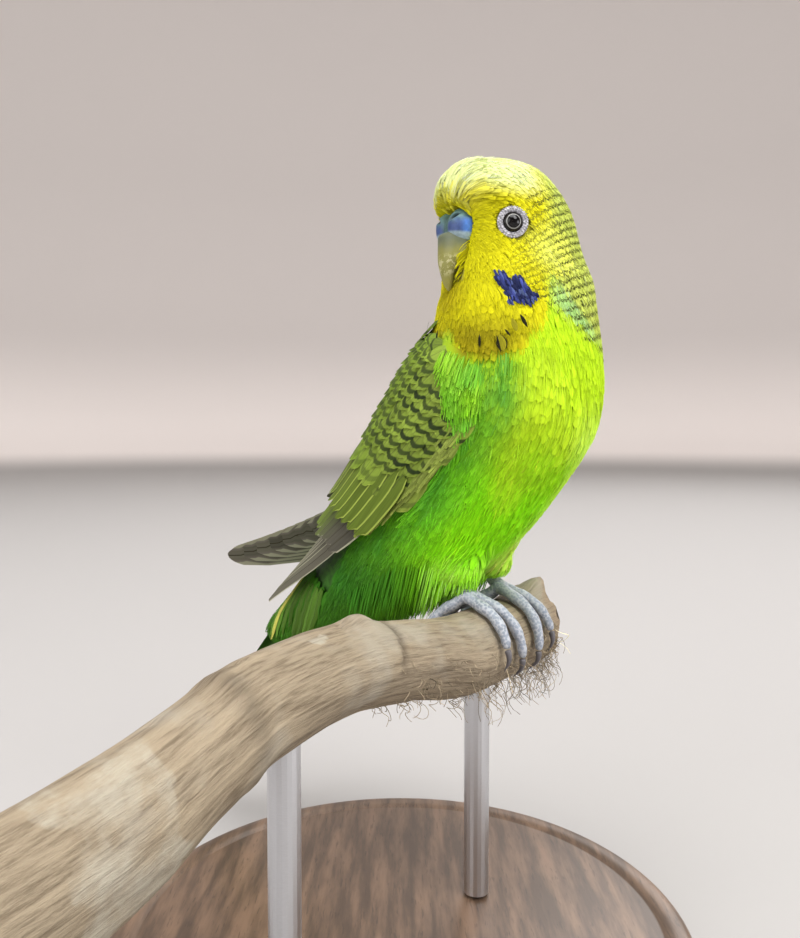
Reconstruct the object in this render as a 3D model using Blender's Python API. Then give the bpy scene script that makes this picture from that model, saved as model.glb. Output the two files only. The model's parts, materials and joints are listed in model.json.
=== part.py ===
"""A budgerigar, life size, perched on a cut length of branch over a plain display stand.

Lengths are in millimetres in the bird's own frame: X ahead of the bird, Y to its left, Z up, with
zero on top of the branch between the feet. At the end the model is turned to the view that it is
shown from, set on the floor and given in metres.
"""

import math

import bmesh
import bpy
import numpy as np
from mathutils import Matrix, Vector

MM = 0.001
GAP = 0.3
SLIVER = 0.002
SHARP_ANGLE = math.radians(35)

# Pose
BODY_YAW = math.radians(54)
HEAD_YAW = math.radians(-60)
BODY_PITCH = math.radians(55)
HEAD_TURN = HEAD_YAW - BODY_YAW

# Body rings along its straight axis: station, then the offsets of the ring's centre, of the back
# and of the belly from the axis line, and the half width
BODY_STATIONS = {
    "coverts": (-60, -46.5, -51.2, -42.0, 7.0),
    "tail_root": (-50, -44.2, -51.0, -36.0, 9.4),
    "rump": (-35, -38.5, -48.6, -26.5, 12.6),
    "vent": (-18, -31.5, -46.6, -16.0, 15.8),
    "thighs": (0, -27.5, -45.6, -8.6, 17.6),
    "belly": (12, -26.8, -45.3, -4.4, 18.0),
    "breast": (25, -26.5, -45.3, -2.4, 18.0),
    "crop": (38, -26.0, -47.0, -2.0, 19.2),
    "shoulders": (45, -26.0, -48.4, -2.2, 20.0),
}
TAIL_CUT = -52.0
RUMP_CUT = -36.0
TORSO_CUT = -14.0
NECK_CUT = 40.0
NECK_FOOT = 45.0

# Head rings: height, reach ahead, reach behind, half width, and how far the widest place is set ahead
HEAD_RINGS = {
    "throat": (76.0, 17.6, 19.6, 16.8, 0.0),
    "cheek": (82.0, 16.6, 17.8, 15.6, 0.0),
    "eye_line": (89.0, 16.4, 16.2, 14.7, 0.4),
    "brow": (94.0, 16.6, 14.8, 13.7, 1.2),
    "forehead": (98.5, 14.9, 12.0, 11.7, 2.2),
    "crown": (102.3, 10.2, 9.2, 8.2, 3.0),
    "crown_top": (104.2, 4.8, 5.0, 3.8, 3.4),
}
HEAD_CENTRE = (5.0, 0.0, 89.0)
NECK_TOP = (6.3, 76.0)
CROWN = (3.5, 0.0, 15.9)
SEGMENTS = 24

# Face, given from the head's centre: ahead, left, up
EYE_PLACE = (7.6, 10.7, -1.9)
EYE_AIM = math.radians(66)
EYE_RADIUS = 2.9
LID_RADIUS = 2.8
LID_THICK = 0.65
LID_DEPTH = 2.2
CERE_PLACE = (15.9, 0.0, -0.6)
CERE_SIZE = (3.5, 4.9, 3.8)
NOSTRIL_PLACE = (18.4, 2.3, 0.3)
NOSTRIL_RADIUS = 0.75

# Bill rings from the cere down: ahead, up, half width, half depth
UPPER_BILL = (
    (16.2, -3.2, 4.3, 3.6),
    (16.9, -5.6, 4.1, 3.6),
    (17.4, -8.0, 3.4, 3.1),
    (17.5, -10.4, 2.5, 2.4),
    (17.2, -12.8, 1.4, 1.5),
)
UPPER_TIP = (16.2, -15.4)
LOWER_BILL = (
    (12.2, -7.6, 2.6, 1.5),
    (12.6, -9.2, 2.8, 1.5),
    (12.9, -10.8, 2.4, 1.2),
)
LOWER_TIP = (13.2, -12.0)

# A feather: thickness of its vane, height of its shaft over it, then its outline as shares of its
# length and of its half width
VANE_THICK = 0.52
VANE_RIDGE = 0.12
VANE_OUTLINE = ((0.0, 0.42), (0.3, 0.9), (0.7, 1.0), (0.92, 0.62))
COVERT_OUTLINE = ((0.0, 0.6), (0.45, 0.96), (0.84, 0.78))

# Wing, folded: radius that it lies on, and how thick each layer of feathers is
WING_RADIUS = 18.4
BACK_SWELL = 0.4
WING_SPREAD = 5.0
WING_AXIS = -27.0
PRIMARY_LEVEL = (0.3, 1.9)
SECONDARY_LEVEL = (2.4, 3.8)
COVERT_LEVEL = 5.0
FAR_WING_LIFT = 20.5
FAR_WING_CROSS = 18.0
FAR_WING_HINGE = 16.0
FAR_WING_REACH = 57.0
RIGHT, LEFT = -1, 1
# Arm under the coverts: station, angles of its two edges, levels of its inner and outer face
ARM_ROWS = (
    (17.0, 5, 100, -4.0, COVERT_LEVEL - 0.2),
    (26.0, 4, 104, -4.0, COVERT_LEVEL),
    (35.0, 6, 108, -4.0, COVERT_LEVEL),
    (41.0, 14, 107, -4.0, COVERT_LEVEL - 0.1),
    (46.0, 30, 99, -3.0, COVERT_LEVEL - 0.6),
    (49.5, 50, 86, -2.0, COVERT_LEVEL - 1.8),
)
ARM_CROWN = 1.6
# Bars that hold the roots of the flight feathers, as the rows of the arm
PRIMARY_BAR = ((16.7, 30, 92, *PRIMARY_LEVEL), (8.0, 30, 89, *PRIMARY_LEVEL))
SECONDARY_BAR = ((16.7, 7, 96, *SECONDARY_LEVEL), (9.0, 7, 93, *SECONDARY_LEVEL))
# Flight feathers: count, half width, roll, then root and tip of the first and of the last as
# stations and angles
PRIMARIES = (8, 3.6, math.radians(8), (13.0, 36), (13.0, 83), (-17.0, 34), (-42.0, 25))
PRIMARY_BOW = 12
SECONDARIES = (8, 4.4, math.radians(6), (13.0, 20), (13.0, 86), (-21.0, 18), (-8.0, 72))
# Rows of coverts: root station, tip station at the back and at the lower edge, first and last angle,
# count, half width, root and tip level
COVERT_ROWS = (
    (21.0, -4.0, 4.0, 17, 90, 7, 4.6, 4.4, 5.3),
    (31.0, 10.0, 13.0, 17, 94, 7, 4.6, 4.2, 5.9),
    (41.0, 22.5, 26.0, 22, 97, 6, 4.8, 4.2, 5.9),
)
COVERT_ROLL = math.radians(6)
COVERT_SLANT = 3

# Tail
TAIL_LEVEL = -48.8
TAIL_STEP = 0.85
TAIL_ROLL = math.radians(6)
TAIL_HOLD = -54.5
# Root of the tail: station, then its width and depth as shares of the rump's end
TAIL_ROOT = ((TAIL_CUT - GAP, 1.0, 1.0), (-56.0, 0.96, 0.92), (-59.5, 0.8, 0.72), (-62.0, 0.5, 0.4))
TAIL_ROOT_LIFT = 1.6
# Pairs of tail feathers: tip station, sideways place at the root and at the tip, half width
TAIL_PAIRS = (
    (-112.0, 0.9, 0.7, 4.6),
    (-97.0, 3.9, 3.8, 4.2),
    (-87.0, 4.4, 4.8, 4.0),
    (-78.0, 4.9, 5.6, 3.8),
    (-71.0, 5.3, 6.2, 3.6),
    (-65.0, 5.6, 6.6, 3.4),
)

# Feet and branch
PERCH_RADIUS = 9.3
PERCH_ENDS = (18.0, -140.0)
PERCH_WAVE = 0.3
BREAK_SLANT = 0.35
# Branch from its broken end: place along it, height of its middle, radius
PERCH_LINE = {
    "broken_end": (-20.0, -9.3, 9.3),
    "under_feet": (12.0, -9.3, 9.3),
    "rise": (37.0, -5.4, 8.5),
    "top": (58.0, -3.2, 8.6),
    "bend": (79.0, -4.8, 9.0),
    "fall": (92.0, -9.2, 9.4),
    "thick": (107.0, -14.6, 10.6),
    "cut_end": (140.0, -21.5, 11.6),
}
FOOT_SPREAD = 7.5
TOE_RADIUS = 1.45
THIGH_PLACE = (-6.2, 7.3, 10.8)
THIGH_SIZE = (8.6, 5.8, 8.4)
THIGH_FOOT = 5.4
SHANK_PATH = ((-6.2, 7.4, 1.6), (-3.2, 4.4, 1.6), (-0.6, 2.4, 1.8))
SOLE_HEIGHT = 2.5
SOLE_SIZE = (2.6, 2.6, 1.9)
CLAW_ARC = 26.0
CLAW_RADIUS = 0.9
SLAB = 30.0
# Toes: first and last angle round the branch in degrees, sideways place at the foot and at the claw
TOES = (
    (16.0, 78.0, 1.7, 3.6),
    (16.0, 96.0, -1.7, -3.4),
    (-16.0, -80.0, 1.7, 4.2),
    (-16.0, -66.0, -1.7, -3.8),
)

# Stand
BASE_RADIUS = 65.0
BASE_THICK = 9.0
BASE_CENTRE = (-8.0, -26.0)
BASE_TOP = -69.0
ROD_RADIUS = 3.0
ROD_PLACES = (-6.0, -72.0)
# Edge of the base from below: how far in from its radius, and how high over its underside
BASE_EDGE = ((2.0, 0.0), (0.0, 2.0), (0.0, 6.0), (1.0, 8.1), (3.2, 9.0))


def smooth_track(positions, values, at):
    """A monotone cubic through the given values, so that a profile has no false waves."""
    x = np.asarray(positions, float)
    y = np.asarray(values, float)
    step = np.diff(x)
    slope = np.diff(y) / step
    tangent = np.zeros_like(y)
    tangent[0] = slope[0]
    tangent[-1] = slope[-1]
    for i in range(1, len(y) - 1):
        if slope[i - 1] * slope[i] > 0:
            before = 2 * step[i] + step[i - 1]
            after = step[i] + 2 * step[i - 1]
            tangent[i] = (before + after) / (before / slope[i - 1] + after / slope[i])
    at = float(np.clip(at, x[0], x[-1]))
    i = int(np.clip(np.searchsorted(x, at) - 1, 0, len(step) - 1))
    t = (at - x[i]) / step[i]
    return (
        (2 * t**3 - 3 * t**2 + 1) * y[i]
        + (t**3 - 2 * t**2 + t) * step[i] * tangent[i]
        + (3 * t**2 - 2 * t**3) * y[i + 1]
        + (t**3 - t**2) * step[i] * tangent[i + 1]
    )


def column(table, index, at):
    """One column of a table, read smoothly at a place."""
    rows = sorted(table.values())
    return smooth_track([r[0] for r in rows], [r[index] for r in rows], at)


def eased(t):
    t = min(max(t, 0.0), 1.0)
    return t * t * (3 - 2 * t)


def span(low, high, count):
    return [low + (high - low) * i / (count - 1) for i in range(count)]


def axis_point(station, offset, side=0.0, pitch=BODY_PITCH):
    """A point from its place along the body's axis, its offset to the front and to the left."""
    return np.array(
        [
            station * math.cos(pitch) + offset * math.sin(pitch),
            side,
            station * math.sin(pitch) - offset * math.cos(pitch),
        ]
    )


def body_ring(station, grow=0.0):
    """An oval across the body's axis."""
    centre, back, belly, half = [column(BODY_STATIONS, i, station) for i in (1, 2, 3, 4)]
    ring = []
    for k in range(SEGMENTS):
        angle = 2 * math.pi * k / SEGMENTS
        reach = (belly - centre if math.cos(angle) > 0 else centre - back) + grow
        offset = centre + math.cos(angle) * reach
        ring.append(axis_point(station, offset, math.sin(angle) * (half + grow)))
    return ring


def head_oval(index_angle, reach, shift=0.0):
    """One point of a ring round the head, turned as the head is."""
    turned = index_angle - HEAD_TURN
    along = shift + math.cos(turned) * (reach[0] if math.cos(turned) > 0 else reach[1])
    across = math.sin(turned) * reach[2]
    return (
        along * math.cos(HEAD_TURN) - across * math.sin(HEAD_TURN),
        along * math.sin(HEAD_TURN) + across * math.cos(HEAD_TURN),
    )


def neck_ring(share, grow=0.0):
    """A ring between shoulders and head, on a curve that bends upright."""
    low = axis_point(NECK_FOOT, column(BODY_STATIONS, 1, NECK_FOOT))
    high = np.array([NECK_TOP[0], 0.0, NECK_TOP[1]])
    reach = np.linalg.norm(high - low)
    leave = np.array([math.cos(BODY_PITCH), 0, math.sin(BODY_PITCH)]) * reach
    arrive = np.array([0, 0, 1.0]) * reach
    t = share
    centre = (2 * t**3 - 3 * t**2 + 1) * low + (t**3 - 2 * t**2 + t) * leave
    centre = centre + (3 * t**2 - 2 * t**3) * high + (t**3 - t**2) * arrive
    bend = eased(t)
    pitch = BODY_PITCH + (math.pi / 2 - BODY_PITCH) * bend
    middle, back, belly, half = [column(BODY_STATIONS, i, NECK_FOOT) for i in (1, 2, 3, 4)]
    front = np.array([math.sin(pitch), 0, -math.cos(pitch)])
    throat = [r + grow for r in HEAD_RINGS["throat"][1:4]]
    ring = []
    for k in range(SEGMENTS):
        angle = 2 * math.pi * k / SEGMENTS
        depth = (belly - middle if math.cos(angle) > 0 else middle - back) + grow
        body = front * math.cos(angle) * depth + np.array([0, math.sin(angle) * (half + grow), 0])
        x, y = head_oval(angle, throat)
        head = front * x + np.array([0, y, 0])
        ring.append(centre + body * (1 - bend) + head * bend)
    return ring


def head_ring(height, grow=0.0):
    """A level oval round the head."""
    reach = [column(HEAD_RINGS, i, height) + grow for i in (1, 2, 3)]
    shift = column(HEAD_RINGS, 4, height)
    share = eased((height - NECK_TOP[1]) / (84.0 - NECK_TOP[1]))
    axis_x = NECK_TOP[0] + (HEAD_CENTRE[0] - NECK_TOP[0]) * share
    ring = []
    for k in range(SEGMENTS):
        x, y = head_oval(2 * math.pi * k / SEGMENTS, reach, shift)
        ring.append(np.array([axis_x + x, y, height]))
    return ring


def head_point(ahead, left, up):
    """A place given from the head's own centre."""
    x = HEAD_CENTRE[0] + ahead * math.cos(HEAD_TURN) - left * math.sin(HEAD_TURN)
    y = HEAD_CENTRE[1] + ahead * math.sin(HEAD_TURN) + left * math.cos(HEAD_TURN)
    return np.array([x, y, HEAD_CENTRE[2] + up])


def material(name, colour, roughness=0.6, metallic=0.0):
    made = bpy.data.materials.get(name)
    if made is None:
        made = bpy.data.materials.new(name)
        made.use_nodes = True
        shader = made.node_tree.nodes["Principled BSDF"]
        shader.inputs["Base Color"].default_value = (*colour, 1.0)
        shader.inputs["Roughness"].default_value = roughness
        shader.inputs["Metallic"].default_value = metallic
    return made


def new_object(name, shape, finish=None):
    """A named object from a bmesh, with its faces pointing out."""
    bmesh.ops.recalc_face_normals(shape, faces=shape.faces)
    if shape.calc_volume(signed=True) < 0:
        bmesh.ops.reverse_faces(shape, faces=shape.faces)
    mesh = bpy.data.meshes.new(name)
    shape.to_mesh(mesh)
    shape.free()
    made = bpy.data.objects.new(name, mesh)
    bpy.context.scene.collection.objects.link(made)
    if finish is not None:
        mesh.materials.append(finish)
    return made


def loft(rings, first=None, last=None):
    """A closed skin over rings of points. An end is a flat cap, or runs to the point that is given."""
    shape = bmesh.new()
    loops = [[shape.verts.new(Vector(p)) for p in ring] for ring in rings]
    count = len(rings[0])
    for low, high in zip(loops, loops[1:]):
        for k in range(count):
            after = (k + 1) % count
            shape.faces.new((low[k], low[after], high[after]))
            shape.faces.new((low[k], high[after], high[k]))
    for loop, point in ((loops[0], first), (loops[-1], last)):
        if point is None:
            shape.faces.new(loop)
            continue
        apex = shape.verts.new(Vector(point))
        for k in range(count):
            shape.faces.new((loop[k], loop[(k + 1) % count], apex))
    return shape


def drop(thing):
    mesh = thing.data
    bpy.data.objects.remove(thing)
    bpy.data.meshes.remove(mesh)


def keep_largest(thing):
    """Removes all but the largest closed surface of a mesh, and the slivers of a cut."""
    shape = bmesh.new()
    shape.from_mesh(thing.data)
    left = set(shape.verts)
    islands = []
    while left:
        seed = left.pop()
        island = {seed}
        front = [seed]
        while front:
            vert = front.pop()
            for edge in vert.link_edges:
                other = edge.other_vert(vert)
                if other in left:
                    left.discard(other)
                    island.add(other)
                    front.append(other)
        islands.append(island)
    islands.sort(key=lambda verts: sum(f.calc_area() for v in verts for f in v.link_faces))
    loose = [v for island in islands[:-1] for v in island]
    bmesh.ops.delete(shape, geom=loose, context="VERTS")
    bmesh.ops.remove_doubles(shape, verts=shape.verts, dist=SLIVER)
    shape.to_mesh(thing.data)
    shape.free()


def cut(target, tool, operation="DIFFERENCE"):
    """Applies one Boolean to the target and removes the tool."""
    step = target.modifiers.new("cut", "BOOLEAN")
    step.operation = operation
    step.solver = "EXACT"
    step.object = tool
    bpy.context.view_layer.objects.active = target
    bpy.ops.object.modifier_apply(modifier=step.name)
    drop(tool)
    keep_largest(target)


def fuse(target, pieces):
    """Joins closed pieces to the target by one union over a collection."""
    group = bpy.data.collections.new("pieces")
    for piece in pieces:
        for owner in list(piece.users_collection):
            owner.objects.unlink(piece)
        group.objects.link(piece)
    step = target.modifiers.new("union", "BOOLEAN")
    step.operation = "UNION"
    step.solver = "EXACT"
    step.operand_type = "COLLECTION"
    step.collection = group
    bpy.context.view_layer.objects.active = target
    bpy.ops.object.modifier_apply(modifier=step.name)
    for piece in list(group.objects):
        drop(piece)
    bpy.data.collections.remove(group)
    keep_largest(target)
    return target


def ball(centre, radii, turn=0.0, rings=10, segments=16):
    """An ellipsoid with its poles up and down, turned about the upright axis."""
    shape = bmesh.new()
    bmesh.ops.create_uvsphere(shape, u_segments=segments, v_segments=rings, radius=1.0)
    place = Matrix.Translation(Vector(centre)) @ Matrix.Rotation(turn, 4, "Z")
    place = place @ Matrix.Diagonal((*radii, 1.0))
    bmesh.ops.transform(shape, matrix=place, verts=shape.verts)
    return shape


def tube(points, radii, guide, sides, last=None):
    """A closed tube along points, with a radius for each. The guide fixes how its rings are turned."""
    points = [np.asarray(p, float) for p in points]
    guide = np.asarray(guide, float)
    rings = []
    for i, point in enumerate(points):
        ahead = points[min(i + 1, len(points) - 1)] - points[max(i - 1, 0)]
        ahead = ahead / np.linalg.norm(ahead)
        side = np.cross(ahead, guide)
        side = side / np.linalg.norm(side)
        up = np.cross(side, ahead)
        ring = []
        for k in range(sides):
            a = 2 * math.pi * k / sides
            ring.append(point + radii[i] * (math.cos(a) * side + math.sin(a) * up))
        rings.append(ring)
    return loft(rings, last=last)


def wing_radius(station, angle):
    """Distance from the wing's axis line to the wing's inner side, at an angle from the back."""
    swell = BACK_SWELL * max(math.cos(angle), 0.0) ** 2
    spread = WING_SPREAD * (max(5.0 - station, 0.0) / 47.0) ** 1.3
    return WING_RADIUS + swell + spread


def wing_point(side, station, angle, level):
    """A point on a folded wing. The angle runs from the back to the bird's own side, in degrees.

    The far wing is held off the back and across it, more so towards its tip.
    """
    turn = math.radians(angle)
    radius = wing_radius(station, turn) + level
    offset = WING_AXIS - radius * math.cos(turn)
    y = side * radius * math.sin(turn)
    if side == LEFT:
        share = (max(FAR_WING_HINGE - station, 0.0) / FAR_WING_REACH) ** 1.4
        offset -= FAR_WING_LIFT * share
        y -= FAR_WING_CROSS * share * math.cos(turn)
    return axis_point(station, offset, y)


def shell(side, rows, columns=8, crown=0.0):
    """A closed piece that lies on the wing.

    Each row holds a station, the angles of its two edges and the levels of its two faces. The
    outer face falls by the crown at the edges.
    """
    shape = bmesh.new()
    grid = []
    for station, first, second, inner, outer in rows:
        layer = []
        for level, fall in ((inner, 0.0), (outer, crown)):
            line = []
            for k in range(columns + 1):
                share = k / columns
                angle = first + (second - first) * share
                height = level - fall * abs(2 * share - 1) ** 3
                line.append(shape.verts.new(Vector(wing_point(side, station, angle, height))))
            layer.append(line)
        grid.append(layer)
    for low, high in zip(grid, grid[1:]):
        for face in (0, 1):
            for k in range(columns):
                a, b = low[face][k], low[face][k + 1]
                c, d = high[face][k + 1], high[face][k]
                shape.faces.new((a, b, c))
                shape.faces.new((a, c, d))
        for k in (0, columns):
            shape.faces.new((low[0][k], low[1][k], high[1][k], high[0][k]))
    for end in (grid[0], grid[-1]):
        for k in range(columns):
            shape.faces.new((end[0][k], end[0][k + 1], end[1][k + 1], end[1][k]))
    return shape


def vane(path, normals, half_width, roll, outline=VANE_OUTLINE, curve=24.0):
    """One feather's vane along a path, curved to the body's roundness, with its shaft as a ridge."""
    rings = []
    lengths = [0.0]
    for a, b in zip(path, path[1:]):
        lengths.append(lengths[-1] + np.linalg.norm(b - a))
    total = lengths[-1]

    def along(t, values):
        return np.array([np.interp(t * total, lengths, [v[i] for v in values]) for i in range(3)])

    for t, share in outline:
        centre = along(t, path)
        up = along(t, normals)
        ahead = along(min(t + 0.05, 1.0), path) - along(max(t - 0.05, 0.0), path)
        ahead = ahead / np.linalg.norm(ahead)
        up = up - ahead * np.dot(up, ahead)
        up = up / np.linalg.norm(up)
        across = np.cross(ahead, up)
        turned = across * math.cos(roll) + up * math.sin(roll)
        up = up * math.cos(roll) - across * math.sin(roll)
        half = half_width * share
        fall = half * half / (2 * curve)
        depth = VANE_THICK / 2
        section = (
            (-half, -fall - depth),
            (0.0, -depth),
            (half, -fall - depth),
            (half, -fall + depth),
            (0.0, depth + VANE_RIDGE),
            (-half, -fall + depth),
        )
        rings.append([centre + turned * u + up * v for u, v in section])
    return loft(rings, last=path[-1])


def wing_vane(side, root, tip, level, half_width, roll, outline=VANE_OUTLINE, bow=0.0):
    """A vane on the wing from the place of its root to that of its tip, each a station and an angle."""
    path = []
    normals = []
    for t in span(0.0, 1.0, 7):
        station = root[0] + (tip[0] - root[0]) * t
        angle = root[1] + (tip[1] - root[1]) * t + bow * math.sin(math.pi * t)
        low = level[0] + (level[1] - level[0]) * t
        here = wing_point(side, station, angle, low)
        path.append(here)
        normals.append(wing_point(side, station, angle, low + 1.0) - here)
    return vane(path, normals, half_width, side * roll, outline)


def between(first, last, share):
    return tuple(a + (b - a) * share for a, b in zip(first, last))


def flight_feathers(side, bar, feathers, level, bow=0.0):
    """Flight feathers side by side, joined to the bar that holds their roots."""
    count, half, roll, first_root, last_root, first_tip, last_tip = feathers
    pieces = []
    for share in span(0.0, 1.0, count):
        root = between(first_root, last_root, share)
        tip = between(first_tip, last_tip, share)
        made = wing_vane(side, root, tip, level, half, roll, bow=bow * share)
        pieces.append(new_object("vane", made))
    return fuse(bar, pieces)


def wing_primaries(side, name):
    """Flight feathers of the hand, folded under the rest, the longest nearest the body."""
    bar = new_object(name, shell(side, PRIMARY_BAR, 5), OLIVE_GREY)
    middle = sum(PRIMARY_LEVEL) / 2
    flight_feathers(side, bar, PRIMARIES, (middle, middle - 0.1), PRIMARY_BOW)


def wing_secondaries(side, name):
    """Flight feathers of the forearm, over the primaries, with the innermost on top."""
    bar = new_object(name, shell(side, SECONDARY_BAR, 6), OLIVE)
    middle = sum(SECONDARY_LEVEL) / 2
    flight_feathers(side, bar, SECONDARIES, (middle, middle))


def wing_coverts(side, name):
    """The arm under its rows of coverts, hollowed to the body that it lies against."""
    arm = new_object(name, shell(side, ARM_ROWS, 8, crown=ARM_CROWN), OLIVE_YELLOW)
    cut(arm, body_copy(GAP))
    pieces = []
    for start, back_tip, low_tip, first, last, count, half, root_level, tip_level in COVERT_ROWS:
        for share in span(0.0, 1.0, count):
            angle = first + (last - first) * share
            root = (start, angle)
            tip = (back_tip + (low_tip - back_tip) * share, angle - COVERT_SLANT)
            level = (root_level, tip_level)
            made = wing_vane(side, root, tip, level, half, COVERT_ROLL, COVERT_OUTLINE)
            pieces.append(new_object("vane", made))
    fuse(arm, pieces)


def body_copy(grow):
    """The whole body, swollen, to cut other pieces clear of it."""
    rings = [body_ring(s, grow) for s in span(TAIL_CUT, NECK_FOOT, 13)]
    rings += [neck_ring(t, grow) for t in span(0.0, 1.0, 5)[1:]]
    return new_object("body_copy", loft(rings))


def body():
    """Rump, vent, torso and neck, each closed by a flat cut across the axis."""
    parts = {
        "rump": span(TAIL_CUT, RUMP_CUT, 5),
        "vent": span(RUMP_CUT + GAP, TORSO_CUT, 6),
        "torso": span(TORSO_CUT + GAP, NECK_CUT, 12),
    }
    for name, places in parts.items():
        new_object(name, loft([body_ring(s) for s in places]), GREEN)
    rings = [body_ring(s) for s in span(NECK_CUT + GAP, NECK_FOOT, 3)]
    rings += [neck_ring(t) for t in span(0.0, 1.0, 9)[1:]]
    new_object("neck", loft(rings), YELLOW_GREEN)


def head():
    """The head, with its ring of height along the neck's own top."""
    bottom = NECK_TOP[1] + GAP
    top = HEAD_RINGS["crown_top"][0]
    rings = [head_ring(h) for h in span(bottom, 102.3, 13)] + [head_ring(103.4), head_ring(top)]
    skull = new_object("head", loft(rings, last=head_point(*CROWN)), YELLOW)
    face(skull)


def look_direction(side):
    """Direction in which an eye looks."""
    turn = HEAD_TURN + side * EYE_AIM
    return np.array([math.cos(turn), math.sin(turn), 0.0])


def lid_ring(centre, aim):
    """A rounded ring of skin about an eye."""
    flat = np.cross(aim, (0, 0, 1.0))
    middle = centre + aim * LID_DEPTH
    shape = bmesh.new()
    loops = []
    for k in range(16):
        a = 2 * math.pi * k / 16
        radial = math.cos(a) * flat + math.sin(a) * np.array([0, 0, 1.0])
        loop = []
        for b in span(0, 2 * math.pi, 7)[:-1]:
            out = LID_RADIUS + LID_THICK * math.cos(b)
            loop.append(shape.verts.new(Vector(middle + radial * out + aim * LID_THICK * math.sin(b))))
        loops.append(loop)
    for low, high in zip(loops, loops[1:] + loops[:1]):
        for k in range(6):
            after = (k + 1) % 6
            shape.faces.new((low[k], low[after], high[after]))
            shape.faces.new((low[k], high[after], high[k]))
    return shape


def face(skull):
    """Lids, sockets and eyes, then the bill."""
    for side, word in ((LEFT, "left"), (RIGHT, "right")):
        ahead, left, up = EYE_PLACE
        centre = head_point(ahead, side * left, up)
        fuse(skull, [new_object("lid", lid_ring(centre, look_direction(side)))])
        cut(skull, new_object("socket", ball(centre, [EYE_RADIUS + GAP] * 3, 0.2, 8, 12)))
        new_object(f"eye_{word}", ball(centre, [EYE_RADIUS] * 3, 0, 9, 14), EYE_BLACK)
    beak(skull)


def bill_section(centre, half_wide, half_deep):
    """A rounded ring across the bill, deeper than it is wide towards the front."""
    ring = []
    for k in range(12):
        a = 2 * math.pi * k / 12
        ring.append(head_point(centre[0] + half_deep * math.cos(a), half_wide * math.sin(a), centre[1]))
    return ring


def bill_half(rows, tip, grow=0.0):
    """Upper or lower bill, or a swollen copy of it that cuts its neighbours clear."""
    rings = [bill_section((a, u), w + grow, d + grow) for a, u, w, d in rows]
    if grow:
        first = head_point(rows[0][0], 0, rows[0][1] + grow)
        last = head_point(tip[0], 0, tip[1] - grow)
        return loft(rings, first=first, last=last)
    return loft(rings, last=head_point(tip[0], 0, tip[1]))


def beak(skull):
    neck = bpy.data.objects["neck"]
    turn = HEAD_TURN
    cere_centre = head_point(*CERE_PLACE)
    cere = new_object("cere", ball(cere_centre, CERE_SIZE, turn), CERE_BLUE)
    upper = new_object("bill_upper", bill_half(UPPER_BILL, UPPER_TIP), HORN)
    lower = new_object("bill_lower", bill_half(LOWER_BILL, LOWER_TIP), HORN)
    cut(upper, new_object("tool", ball(cere_centre, [r + GAP for r in CERE_SIZE], turn)))
    cut(lower, new_object("tool", bill_half(UPPER_BILL, UPPER_TIP, GAP)))
    for side in (LEFT, RIGHT):
        ahead, left, up = NOSTRIL_PLACE
        place = head_point(ahead, side * left, up)
        cut(cere, new_object("tool", ball(place, [NOSTRIL_RADIUS] * 3, turn, 5, 8)))
    for flesh in (skull, neck):
        cut(flesh, new_object("tool", ball(cere_centre, [r + GAP for r in CERE_SIZE], turn)))
        cut(flesh, new_object("tool", bill_half(UPPER_BILL, UPPER_TIP, GAP)))
        cut(flesh, new_object("tool", bill_half(LOWER_BILL, LOWER_TIP, GAP)))


def perch_centre(y):
    return np.array([0.0, y, column(PERCH_LINE, 1, -y)])


def slab(bottom, y):
    """A block with its underside at a height, to cut a leg level."""
    shape = bmesh.new()
    place = Matrix.Translation((-5.0, y, bottom + SLAB / 2))
    bmesh.ops.create_cube(shape, size=SLAB, matrix=place)
    return new_object("slab", shape)


def leg(side, word):
    y = side * FOOT_SPREAD
    ahead, out, up = THIGH_PLACE
    shape = ball((ahead, side * out, up), THIGH_SIZE, rings=8, segments=14)
    thigh = new_object(f"thigh_{word}", shape, GREEN)
    cut(thigh, body_copy(GAP))
    cut(thigh, slab(THIGH_FOOT - SLAB, y))
    path = [(x, y, z) for x, z, r in SHANK_PATH]
    shape = tube(path, [r for x, z, r in SHANK_PATH], (0, 1, 0), 12)
    shank = new_object(f"shank_{word}", shape, FOOT_GREY)
    cut(shank, slab(THIGH_FOOT - GAP, y))
    sole = ball((0, y, SOLE_HEIGHT), SOLE_SIZE, rings=8, segments=12)
    fuse(shank, [new_object("sole", sole)])
    for number, (start, end, spread, out) in enumerate(TOES, 1):
        toe(y, f"{word}_{number}", start, end, side * spread, side * out)


def round_perch(y, angle, reach):
    """A point round the branch, at an angle ahead of its top."""
    return perch_centre(y) + reach * np.array([math.sin(angle), 0, math.cos(angle)])


def toe(y, tag, start, end, near, far):
    """A toe laid round the branch, swollen at its joints, and the claw that it ends in."""
    reach = PERCH_RADIUS + GAP + TOE_RADIUS + 0.1
    path = []
    radii = []
    for t in span(0.0, 1.0, 7):
        angle = math.radians(start + (end - start) * t)
        path.append(round_perch(y + near + (far - near) * t, angle, reach))
        radii.append(TOE_RADIUS * (1 - 0.2 * t) + 0.1 * math.cos(6 * math.pi * t))
    new_object(f"toe_{tag}", tube(path, radii, (0, 1, 0), 8), FOOT_GREY)
    sign = 1 if end > start else -1
    path = []
    radii = []
    for t in span(0.0, 1.0, 5):
        angle = math.radians(end + sign * (2.2 + CLAW_ARC * t))
        lift = 0.5 * math.sin(math.pi * min(t * 1.2, 1.0)) - 0.5 * t
        path.append(round_perch(y + far, angle, reach + lift))
        radii.append(CLAW_RADIUS - (CLAW_RADIUS - 0.08) * t)
    shape = tube(path[:-1], radii[:-1], (0, 1, 0), 7, last=path[-1])
    new_object(f"claw_{tag}", shape, CLAW_GREY)


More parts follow.
